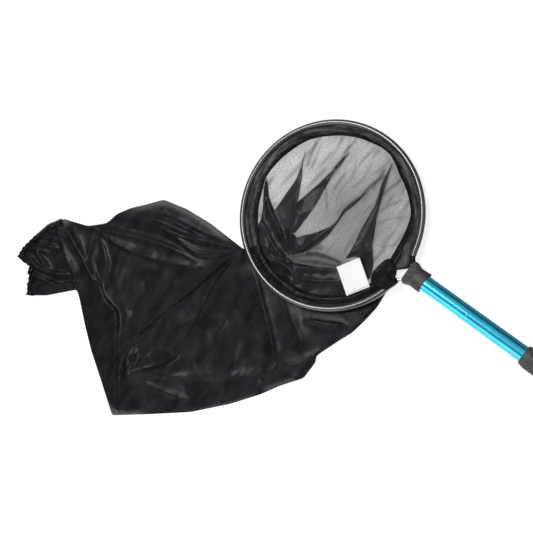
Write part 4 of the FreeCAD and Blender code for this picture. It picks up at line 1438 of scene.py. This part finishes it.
    def inner_parts(self, line: np.ndarray, ring: np.ndarray, closed: bool = True) -> list:
        """The stretches of a line that lie well inside the plan.

        Args:
            line: the line, closed or open.
            ring: the closed edge of the plan.
            closed: whether the line's last point joins its first.

        Returns:
            The stretches, each with two points or more.
        """
        clear = 1.5  # gap that is kept to the plan's edge
        if closed:
            line = np.concatenate([line, line[:1]])
        gap, _, _ = nearest(line, ring, True)
        good = within(line, ring) & (gap > clear)
        parts, run = [], []
        for point, fine in zip(line, good):
            if fine:
                run.append(point)
                continue
            if len(run) > 1:
                parts.append(np.array(run))
            run = []
        if len(run) > 1:
            parts.append(np.array(run))
        return parts

    def open_tail(self, points: np.ndarray, level: np.ndarray) -> np.ndarray:
        """Lifts the upper layer at the tail's end, which is left open.

        Args:
            points: points of the plan, one per row.
            level: the upper layer's height at each.

        Returns:
            The new levels.
        """
        height, width = 4.5, 1.2
        end = smooth_line(LAID_EDGE[TAIL_FIRST:TAIL_LAST + 1], 3.0, 2)
        gap, _, _ = nearest(points, end)
        lip = FLOOR + height + 1.2 * ripple(points, 5.0, 2.2)
        return np.where(gap < width, np.maximum(level, lip), level)


@dataclass
class Hem:
    """The turned hem that holds the net on the hoop.

    Attributes:
        outer: radius where it goes into the split tube.
        body: thickness of its layers.
        seam: share of its width where the seam runs.
        start: bearing of its end on the handle's far side.
        end: bearing of its end on the near side.
        steps: how many places round the hoop.
    """

    outer: float = 145.3
    body: float = 0.8
    seam: float = 0.64
    start: float = -3.6
    end: float = -8.0
    steps: int = 720

    # Beside the handle the edges leave their circles: bearing, outer radius, inner radius.
    ENDS: ClassVar[tuple] = (
        (-16.0, 145.3, 122.0), (-13.0, 148.0, 119.0), (-10.0, 150.5, 118.0), (-8.0, 150.0, 118.0),
        (-3.6, 139.0, 137.5), (-2.6, 141.6, 130.0), (-1.6, 144.3, 121.0), (-0.8, 146.6, 118.5),
        (0.5, 150.4, 117.5), (1.8, 153.6, 117.0), (3.5, 153.6, 117.0), (6.2, 152.8, 117.0),
        (8.7, 149.8, 117.0), (12.0, 145.3, 117.5),
    )

    # Shares of the width at which the band has points, closer together at its seam.
    ACROSS: ClassVar[tuple] = (
        0.0, 0.05, 0.12, 0.20, 0.28, 0.36, 0.44, 0.52, 0.57, 0.61, 0.65, 0.69, 0.74, 0.80, 0.86,
        0.92, 0.97, 1.0,
    )
    DOUBLE: ClassVar[float] = 0.9  # how much thicker the hem is beyond its seam
    SEAM_HALF: ClassVar[float] = 0.03  # half the seam's width, as a share of the hem's
    PINCH: ClassVar[float] = 0.45  # share of the thickness that the seam leaves
    FOLD: ClassVar[float] = 0.1  # share of the width over which the inner fold rounds off
    NOISE_RADIUS: ClassVar[float] = 14.0  # radius of the circle on which the noise is read
    MAP_ALONG: ClassVar[float] = 2.4  # length on the cloth's map to a degree of bearing
    MAP_APART: ClassVar[float] = 30.0  # how far each face's map is moved off the hem's middle
    CASING_ENDS: ClassVar[tuple] = ((1.0, 13.2), (-1.0, 20.5))  # side, and distance to the axis

    def radii(self, bearing: float) -> tuple[float, float]:
        """Outer and inner radius of the hem.

        Args:
            bearing: the direction from the hoop's centre, between -180 and 180 degrees.

        Returns:
            The two radii in millimetres.
        """
        table = np.array(self.ENDS)
        if table[0, 0] <= bearing <= table[-1, 0]:
            return tuple(float(np.interp(bearing, table[:, 0], table[:, k])) for k in (1, 2))
        return self.outer, mouth_radius(bearing)

    def build(self) -> bpy.types.Object:
        """Makes the hem as a band: over, round its inner fold, and back below.

        Returns:
            The new piece.
        """
        rows, opening, plan = [], [], []
        sweep = 360.0 + self.end - self.start
        for k in range(self.steps + 1):
            bearing = self.start + sweep * k / self.steps
            angle = math.radians(bearing)
            outer, inner = self.radii((bearing + 180.0) % 360.0 - 180.0)
            place = Vector((math.cos(angle) * self.NOISE_RADIUS,
                            math.sin(angle) * self.NOISE_RADIUS, 0.0))
            wander = 0.14 * noise.noise(place * 0.16 + Vector((0.0, 0.0, 4.0)))
            for side in (1.0, -1.0):
                for share in self.ACROSS if side > 0 else reversed(self.ACROSS):
                    radius = outer + (inner - outer) * share
                    beyond = share - self.seam - wander
                    level = self.level(place, side, share, beyond, radius)
                    rows.append((radius * math.cos(angle), radius * math.sin(angle), level))
                    opening.append(self.openness(place, share, beyond))
                    plan.append((bearing * self.MAP_ALONG, radius + side * self.MAP_APART))
        count = 2 * len(self.ACROSS)
        faces = band_faces(self.steps + 1, count) + end_caps(self.steps + 1, count)
        cloth = Cloth()
        cloth.add(np.array(rows), faces, np.array(opening), np.array(plan))
        for side, last in self.CASING_ENDS:
            self.casing(cloth, side, last)
        return cloth.make("hem", 0.001)

    def level(self, place: Vector, side: float, share: float, beyond: float,
              radius: float) -> float:
        """Height of the hem's surface.

        Args:
            place: where along the hem, on a small circle, for the noise.
            side: 1 for its upper face, -1 for its lower one.
            share: how far across, from the split tube inwards.
            beyond: how far past the seam.
            radius: the radius there.

        Returns:
            The level in millimetres.
        """
        # Beyond the seam the cloth lies double, and the seam itself is drawn in.
        band = self.body * (1.0 + self.DOUBLE * float(ramp(beyond, 0.0, 0.08)))
        if abs(beyond) < self.SEAM_HALF:
            band *= self.PINCH
        into_fold = max(0.0, share - (1.0 - self.FOLD)) / self.FOLD
        thick = band * math.sqrt(max(0.0, 1.0 - into_fold ** 2))
        pucker = noise.noise(place * 1.9) * 0.55 + noise.noise(place * 0.7) * 0.5
        drift = noise.noise(place * 0.22) * 1.6
        level = hem_level(radius) + side * 0.5 * thick
        level += pucker * math.sin(math.pi * share) + drift * share * (1 - share)
        # A low ridge where the casing round the rod ends.
        ridge, ridge_at, ridge_width = 0.5, 0.26, 0.06
        level += ridge * math.exp(-((share - ridge_at) / ridge_width) ** 2) * side
        return level + 0.5 * noise.noise(Vector((place.x * 0.5, place.y * 0.5, share * 9.0)))

    def openness(self, place: Vector, share: float, beyond: float) -> float:
        """How open the hem's cloth is.

        Args:
            place: where along the hem, on a small circle, for the noise.
            share: how far across, from the split tube inwards.
            beyond: how far past the seam.

        Returns:
            The openness, 0 to 1.
        """
        fine = noise.noise(Vector((place.x * 1.2, place.y * 1.2, share * 8.0)))
        # Only between the split tube and the seam does light come through.
        if beyond > -0.02 or share < 0.07:
            shade = 0.06 + 0.10 * fine
        else:
            strip = 0.5 + 0.5 * noise.noise(place * 0.20 + Vector((0.0, 0.0, 9.0)))
            patch = noise.noise(Vector((place.x * 0.30, place.y * 0.30, share * 4.2)))
            shade = 0.27 + 0.14 * strip + 0.32 * patch + 0.16 * fine
        return min(0.9, max(0.03, shade))

    def casing(self, cloth: Cloth, side: float, last: float) -> None:
        """Adds the casing that shows round the rod, from the split tube towards the handle.

        Args:
            cloth: the hem under construction.
            side: 1 on the handle's far side, -1 on the near side.
            last: how far from the handle's axis it ends.
        """
        # The rod leaves the hoop on a bend round this centre.
        centre, bend = Vector((174.0, 37.5)), 30.0
        around, steps = 14, 10
        thin, flare = 3.6, 0.5  # its radius at the split tube, and how much it widens
        first_angle = math.radians(203.0)
        last_angle = math.pi + math.asin((centre.y - last) / bend)
        rows, plan = [], []
        for k in range(steps + 1):
            turn = first_angle + (last_angle - first_angle) * k / steps
            out = Vector((math.cos(turn), math.sin(turn)))
            for j in range(around):
                spin = 2.0 * math.pi * j / around
                girth = thin + 0.5 * noise.noise(Vector((k * 0.7, j * 0.9, side * 3.0)))
                girth += flare * (k / steps) ** 2
                at = centre + out * (bend + girth * math.cos(spin))
                rows.append((at.x, side * at.y, girth * math.sin(spin)))
                plan.append((k * 1.2, j * 1.6))
        faces = band_faces(steps + 1, around, side < 0)
        cloth.add(np.array(rows), faces, np.full(len(rows), 0.05), np.array(plan))


@dataclass
class Tab:
    """The hem's near end, folded over the far one beside the handle, its edge overlocked.

    Attributes:
        lift: height over the hem below it.
        body: thickness of the folded cloth.
        tooth: depth of the overlocked edge's teeth.
        lowest: level below which it never lies.
        ride: how much its outer corner rides up on the split tube.
        roll: width over which its edge rounds off.
        pitch: spacing of the points at its edge.
        coarse: spacing elsewhere.
    """

    lift: float = 1.3
    body: float = 2.0
    tooth: float = 1.1
    lowest: float = -13.0
    ride: float = 3.2
    roll: float = 2.6
    pitch: float = 2.2
    coarse: float = 4.0

    OUTLINE: ClassVar[Path] = (
        (113, -47), (109, -40), (107, -32), (108, -25), (110, -16), (112, -8), (115, -3),
        (119, -1), (124, -1.5), (130, -4), (136, -6.5), (139.5, -9.5), (142, -14), (144.5, -20),
        (150.5, -19.5), (153.5, -24.5), (150, -33), (145, -42), (135, -47), (123, -49),
    )

    def build(self) -> bpy.types.Object:
        """Makes the tab: a closed patch, thick in the middle and toothed along its cut edge.

        Returns:
            The new piece.
        """
        ring = smooth_line(list(self.OUTLINE), 1.2, 2, True)
        centre = ring.mean(0)
        toothed = outset(ring, self.tooth)
        # Only the cut edge, on the side of the handle's axis, is overlocked.
        cut = (ring[:, 1] > -24.0) & (ring[:, 0] < 146.0)
        even = np.arange(len(ring)) % 2 == 0
        ring = np.where((cut & even)[:, None], toothed, ring)
        points, faces = triangulate(ring, [], self.pitch, EVERYWHERE, self.coarse)
        gap, _, _ = nearest(points, ring, True)
        radius = np.hypot(*points.T)
        base = np.maximum(hem_level(radius), self.lowest) + self.lift
        base = base + self.ride * ramp(radius, 140.0, 148.0) * ramp(-points[:, 1], 18.0, 28.0)
        into_edge = 1.0 - np.clip(gap / self.roll, 0, 1)
        swell = np.sqrt(np.clip(1.0 - 0.96 * into_edge ** 2, 0, 1))
        rumple = crumple(points, 11.0, 3.3, 1.6) + 0.5 * crumple(points, 5.0, 6.1, 1.6)
        top = base + (0.5 * self.body + rumple) * swell
        low = base - 0.5 * self.body * swell
        count = len(points)
        turned = [(a + count, c + count, b + count) for a, b, c in faces]
        edges = {(f[k], f[(k + 1) % 3]) for f in faces for k in range(3)}
        rim = [(b, a, a + count, b + count) for a, b in sorted(edges) if (b, a) not in edges]
        rows = np.vstack([np.column_stack([points, top]), np.column_stack([points, low])])
        plan = np.vstack([points - centre, points - centre])
        cloth = Cloth()
        cloth.add(rows, faces + turned + rim, np.full(2 * count, 0.04), plan)
        return cloth.make("hem_tab", 0.01)


@dataclass
class TailHem:
    """The gathered hem round the sleeve's far end.

    Attributes:
        width: width of the hem.
        body: its thickness over the sleeve.
        gather: spacing of the gathers.
        depth: depth of the gathers.
        step: spacing of the points along it.
        over: how far its upper face keeps over the sleeve.
        under: height of its lower face over the floor.
    """

    width: float = 13.0
    body: float = 2.6
    gather: float = 5.2
    depth: float = 1.1
    step: float = 1.6
    over: float = 0.4
    under: float = 0.3

    LINE: ClassVar[Path] = (
        (-386, -430), (-402, -400), (-413, -384), (-428, -386), (-442, -386), (-443, -367),
        (-437, -340), (-424, -303), (-410, -283),
    )

    def build(self, sleeve: Sleeve) -> bpy.types.Object:
        """Makes the hem as a rounded band on the sleeve's end, drawn into gathers.

        Args:
            sleeve: the sleeve that it is sewn to.

        Returns:
            The new piece.
        """
        line = smooth_line(list(self.LINE), self.step, 4)
        run = np.gradient(line, axis=0)
        run /= np.hypot(*run.T)[:, None]
        inward = np.stack([run[:, 1], -run[:, 0]], 1)
        middle = np.array([-330.0, -330.0])  # a point of the sleeve beside the hem
        if float(((middle - line) * inward).sum(1).mean()) < 0:
            inward = -inward
        across = np.linspace(0.0, 1.0, 9)
        count = len(across)
        past = 1.0  # how far it reaches past the sleeve's end
        apart = 20.0  # how far each face's map is moved off the other's
        flat = np.concatenate([line + inward * (self.width * s - past) for s in across])
        base = sleeve.top_level(flat, sleeve.edge()).reshape(count, -1)
        rows, plan = [], []
        for k in range(len(line)):
            travel = self.step * k
            phase = 2.0 * math.pi * (travel / self.gather
                                     + 0.5 * noise.noise(Vector((travel * 0.05, 0.0, 1.0))))
            fold = self.depth * (0.6 + 0.8 * noise.noise(Vector((travel * 0.13, 2.0, 0.0))))
            for side in (1, -1):
                for j in range(count) if side > 0 else range(count - 1, -1, -1):
                    bulge = math.sqrt(max(0.0, 1.0 - (2.0 * across[j] - 1.0) ** 2))
                    at = flat[j * len(line) + k]
                    crest = fold * math.sin(phase) * (0.35 + 0.65 * bulge)
                    if side > 0:
                        level = base[j, k] + self.over + self.body * bulge + crest
                    else:
                        level = FLOOR + self.under
                    rows.append((at[0], at[1], level))
                    plan.append((travel, across[j] * self.width + side * apart))
        faces = band_faces(len(line), 2 * count) + end_caps(len(line), 2 * count)
        rows = np.array(rows)
        opening = 0.05 + 0.30 * ramp(rows[:, 1], -372.0, -322.0)
        cloth = Cloth()
        cloth.add(rows, faces, opening, np.array(plan))
        piece = cloth.make("tail_gather", 0.001)
        outwards(piece)
        return piece


@dataclass
class Label:
    """The bare sewn label, curling down from the hem over the net.

    Attributes:
        width: its width along the hem.
        length: its length from the hem inwards.
        body: its thickness.
        bearing: where its middle is, in degrees.
        sewn: radius at which it is sewn to the hem.
        along: how many faces it has along its length.
        wide: how many across.
    """

    width: float = 40.0
    length: float = 49.0
    body: float = 0.5
    bearing: float = -33.5
    sewn: float = 128.5
    along: int = 26
    wide: int = 20

    def build(self) -> bpy.types.Object:
        """Makes the label as a curved closed slip of cloth.

        Returns:
            The new piece.
        """
        angle = math.radians(self.bearing)
        inward = Vector((-math.cos(angle), -math.sin(angle)))
        beside = Vector((-math.sin(angle), math.cos(angle)))
        start = -inward * self.sewn
        row = self.wide + 1
        cloth = Cloth()
        for side in (1.0, -1.0):
            rows, plan = [], []
            for i in range(self.along + 1):
                u = i / self.along
                for j in range(row):
                    v = j / self.wide - 0.5
                    at = start + inward * (u * self.length) + beside * (v * self.width)
                    rows.append((at.x, at.y, self.level(u, v) + side * self.body / 2))
                    plan.append((u * self.length, v * self.width))
            faces = []
            for i in range(self.along):
                for j in range(self.wide):
                    a = i * row + j
                    quad = (a, a + 1, a + row + 1, a + row)
                    faces.append(quad if side < 0 else quad[::-1])
            if side < 0:
                faces += self.rim()
            cloth.add(np.array(rows), faces, np.zeros(len(rows)), np.array(plan))
        return cloth.make("label", 0.001)

    def level(self, u: float, v: float) -> float:
        """Height of the label: it drops from the hem, hangs through and curls up at its end.

        Args:
            u: how far along it, 0 at the hem to 1.
            v: how far across, -0.5 to 0.5.

        Returns:
            The level in millimetres.
        """
        seam, drop, trough, curl = -6.2, 4.6, 1.5, 2.4
        level = seam - drop * (1.0 - (1.0 - u) ** 1.5)
        return level + (trough * (2 * v) ** 2 * math.sin(math.pi * u * 0.8) + curl * u ** 5)

    def rim(self) -> list:
        """Joins the two sides along the cut edge.

        Returns:
            The faces, counted from the lower side's first point.
        """
        row, last = self.wide + 1, self.along * (self.wide + 1)
        ring = list(range(row))
        ring += [i * row + self.wide for i in range(1, self.along + 1)]
        ring += [last + j for j in range(self.wide - 1, -1, -1)]
        ring += [i * row for i in range(self.along - 1, 0, -1)]
        shift = last + row
        return [(a, a - shift, b - shift, b) for a, b in zip(ring, ring[1:] + ring[:1])]


class Fittings:
    """The rigid parts as they come from the frame, each in its finish."""

    FINISHES: ClassVar[dict[str, Finish]] = {
        "hoop_rod": Finish.STEEL,
        "hoop_guard": Finish.GUARD,
        "hem_thread": Finish.THREAD,
        "label_stitches": Finish.THREAD,
        "head_collar": Finish.RUBBER,
        "leg_plug": Finish.NYLON,
        "plug_rivet": Finish.STUD,
        "front_tube": Finish.TEAL,
        "tube_end_plug": Finish.ACETAL,
        "end_plug_pin": Finish.PIN,
        "rear_tube": Finish.TEAL,
        "lock_body": Finish.PLASTIC,
        "lock_body_pins": Finish.PIN,
        "lock_nut": Finish.PLASTIC,
        "clamp_ring": Finish.ACETAL,
        "hand_grip": Finish.GRIP,
        "end_cap": Finish.PLASTIC,
        "cap_rivet": Finish.RIVET,
    }

    def dress(self, wardrobe: Wardrobe) -> None:
        """Dresses every solid, also those that a cloth piece then replaces.

        Args:
            wardrobe: the finishes.
        """
        for name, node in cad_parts.items():
            finish = self.FINISHES.get(name)
            if finish:
                log.info("%s: %s", name, finish.slot)
            # A solid that a cloth piece replaces isn't seen, so any finish does for it.
            wardrobe.dress(node, finish or Finish.PIN)


# The floor, the light and the camera.


@dataclass(frozen=True)
class Studio:
    """A pale floor, soft lamps and the camera.

    Attributes:
        eye: the camera's place in metres.
        right: direction to the picture's right.
        up: direction to the picture's top.
        focal: focal length in widths of the picture.
        film: width of the film in millimetres.
        dim: strength of the surroundings as a light on the object.
    """

    eye: tuple = (-0.3247, 0.1138, 1.5077)
    right: tuple = (0.7532, 0.5566, -0.3505)
    up: tuple = (-0.5720, 0.8174, 0.0687)
    focal: float = 1003.82 / 533.0
    film: float = 36.0
    dim: float = 0.48

    # What a shiny surface sees round it: how far towards +Y, and how bright it is there. The two
    # ends come first, because a new curve has them already.
    SIDES: ClassVar[tuple] = (
        (-1.0, 0.12), (1.0, 0.08), (-0.60, 0.12), (-0.46, 0.40), (-0.38, 0.42), (-0.24, 0.42),
        (-0.12, 0.80), (0.40, 0.70), (0.70, 0.58), (0.84, 0.36), (0.94, 0.12),
    )
    BRIGHTEST: ClassVar[float] = 2.0  # the brightness that the curve's top stands for
    FLOOR_GAP: ClassVar[float] = 0.0002  # how far the paper lies below the part, in metres
    PAPER_SHOWN: ClassVar[float] = 0.80  # light that the paper adds where the camera sees it

    def camera(self) -> None:
        """Places the camera."""
        data = bpy.data.cameras.new("camera")
        data.sensor_width = self.film
        data.lens = self.film * self.focal
        data.clip_start, data.clip_end = 0.05, 50.0
        camera = bpy.data.objects.new("camera", data)
        right, up = Vector(self.right).normalized(), Vector(self.up)
        up = (up - right * up.dot(right)).normalized()
        back = right.cross(up)
        turn = Matrix((right, up, back)).transposed()
        camera.matrix_world = Matrix.Translation(self.eye) @ turn.to_4x4()
        bpy.context.scene.collection.objects.link(camera)
        bpy.context.scene.camera = camera

    def lamp(self, name: str, place: tuple, aim: tuple, watts: float, size: tuple) -> None:
        """Adds a soft rectangular lamp.

        Args:
            name: its name.
            place: where it stands.
            aim: what it points at.
            watts: its power.
            size: its sides.
        """
        data = bpy.data.lights.new(name, "AREA")
        data.shape = "RECTANGLE"
        data.size, data.size_y = size
        data.energy = watts
        lamp = bpy.data.objects.new(name, data)
        direction = Vector(aim) - Vector(place)
        lamp.matrix_world = Matrix.Translation(place) @ direction.to_track_quat(
            "-Z", "Y").to_matrix().to_4x4()
        bpy.context.scene.collection.objects.link(lamp)

    def lamps(self) -> None:
        """Lights the net: a wide softbox overhead, a narrow one and a card beside the tubes."""
        self.lamp("overhead", (-1.80, 0.41, 2.50), (-1.50, 0.10, 0.0), 35.0, (0.98, 1.26))
        self.lamp("strip", (-1.41, 0.10, 2.50), (-1.06, -0.06, 0.0), 10.5, (0.48, 0.46))
        self.lamp("near_side", (-0.70, -2.50, 1.05), (-0.70, 0.0, 0.0), 7.0, (2.4, 1.9))
        self.lamp("card", (-0.63, -0.75, 0.45), (-0.56, 0.0, 0.0), 1.7, (0.64, 0.70))

    def world(self) -> None:
        """Sets the surroundings: white behind the object, dimmer as a light on it."""
        world = bpy.data.worlds.new("studio")
        world.use_nodes = True
        sky = Nodes(world.node_tree)
        path = sky.node("ShaderNodeLightPath").outputs
        # Metal sees the pale near side of the studio and its darker far side.
        direction = sky.axes(sky.node("ShaderNodeTexCoord").outputs["Generated"])
        sides = sky.node("ShaderNodeFloatCurve")
        sky.wire(sky.math("MULTIPLY_ADD", direction["Y"], 0.5, 0.5), sides.inputs["Value"])
        self.shape_sides(sides.mapping)
        mirrored = sky.math("MULTIPLY", sides.outputs[0], self.BRIGHTEST)
        lighting = sky.choose(path["Is Glossy Ray"], self.dim, mirrored)
        seen = sky.math("MAXIMUM", path["Is Camera Ray"], path["Is Transmission Ray"])
        shown = world.node_tree.nodes["Background"].inputs
        sky.wire(sky.choose(seen, lighting, 1.0), shown["Strength"])
        shown["Color"].default_value = (1.0, 1.0, 1.0, 1.0)
        bpy.context.scene.world = world

    def shape_sides(self, mapping: bpy.types.CurveMapping) -> None:
        """Gives a curve from 0 to 1 the brightness of the studio's sides.

        Args:
            mapping: the curve of a node.
        """
        curve = mapping.curves[0]
        for k, (y, value) in enumerate(self.SIDES):
            spot = (0.5 + 0.5 * y, value / self.BRIGHTEST)
            if k < 2:
                curve.points[k].location = spot
            else:
                curve.points.new(*spot)
        for point in curve.points:
            point.handle_type = "VECTOR"
        mapping.update()

    def floor(self) -> None:
        """Lays the floor: white paper that keeps the net's shadow."""
        bpy.ops.object.select_all(action="DESELECT")
        bpy.ops.mesh.primitive_circle_add(
            vertices=96, radius=6.0, fill_type="NGON",
            location=(-0.6, 0.0, FLOOR * MM - self.FLOOR_GAP))
        floor = bpy.context.active_object
        floor.name = "floor"
        bpy.ops.object.transform_apply(location=True, rotation=True, scale=True)
        paper = Recipe("floor_paper", (0.27, 0.27, 0.27), 0.9)
        paper.set("Specular IOR Level", 0.1)
        paper.set("Emission Color", (1.0, 1.0, 1.0, 1.0))
        path = paper.node("ShaderNodeLightPath").outputs
        # Painted light: the paper glows in reflections only, brightest on its near side beside the
        # tubes, though it is no lamp.
        glow = paper.math("MULTIPLY", path["Is Glossy Ray"], self.painted_reflection_glow(paper))
        shown = paper.math("MULTIPLY", path["Is Camera Ray"], self.PAPER_SHOWN)
        paper.wire(paper.math("ADD", glow, shown), paper.shader.inputs["Emission Strength"])
        floor.data.materials.append(paper.material)

    def painted_reflection_glow(self, paper: Recipe) -> bpy.types.NodeSocket:
        """In the reflections the paper is bright on its near side, beside the tubes.

        Args:
            paper: the floor's material being mixed.

        Returns:
            How bright the paper is in a reflection.
        """
        place = paper.axes(paper.place)
        near = paper.math("MULTIPLY", paper.spread(place["Y"], 1.60, 1.30, -0.10, 0.0),
                          paper.spread(place["Y"], 1.0, 0.0, -0.010, 0.006))
        beside = paper.math("MULTIPLY", paper.spread(place["X"], 0.0, 1.0, -0.72, -0.64),
                            paper.spread(place["X"], 1.0, 0.62, -0.60, -0.44))
        return paper.math("MULTIPLY", near, beside)

    def build(self) -> None:
        """Sets the whole studio up."""
        bpy.context.scene.view_settings.view_transform = "Standard"
        self.camera()
        self.lamps()
        self.world()
        self.floor()


def main() -> None:
    """Builds the studio, the fittings and the cloth, and reports each piece."""
    logging.basicConfig(level=logging.INFO, format="%(name)s: %(message)s")
    Studio().build()
    wardrobe = Wardrobe()
    Fittings().dress(wardrobe)

    hem = Hem().build()
    wardrobe.dress(hem, Finish.HEM, HEAD)
    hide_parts("net_hem")

    sewn_sleeve = Sleeve()
    sleeve = sewn_sleeve.build()
    wardrobe.dress(sleeve, Finish.NET, HEAD)
    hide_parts("net_sleeve")

    tab = Tab().build()
    wardrobe.dress(tab, Finish.HEM, HEAD)

    tail = TailHem().build(sewn_sleeve)
    wardrobe.dress(tail, Finish.HEM, HEAD)
    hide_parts("tail_hem")

    label = Label().build()
    wardrobe.dress(label, Finish.LABEL, HEAD)
    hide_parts("net_label")

    for piece in (hem, sleeve, tab, tail, label):
        log.info("%s: %d faces", piece.name, len(piece.data.polygons))


if __name__ == "__main__":
    main()
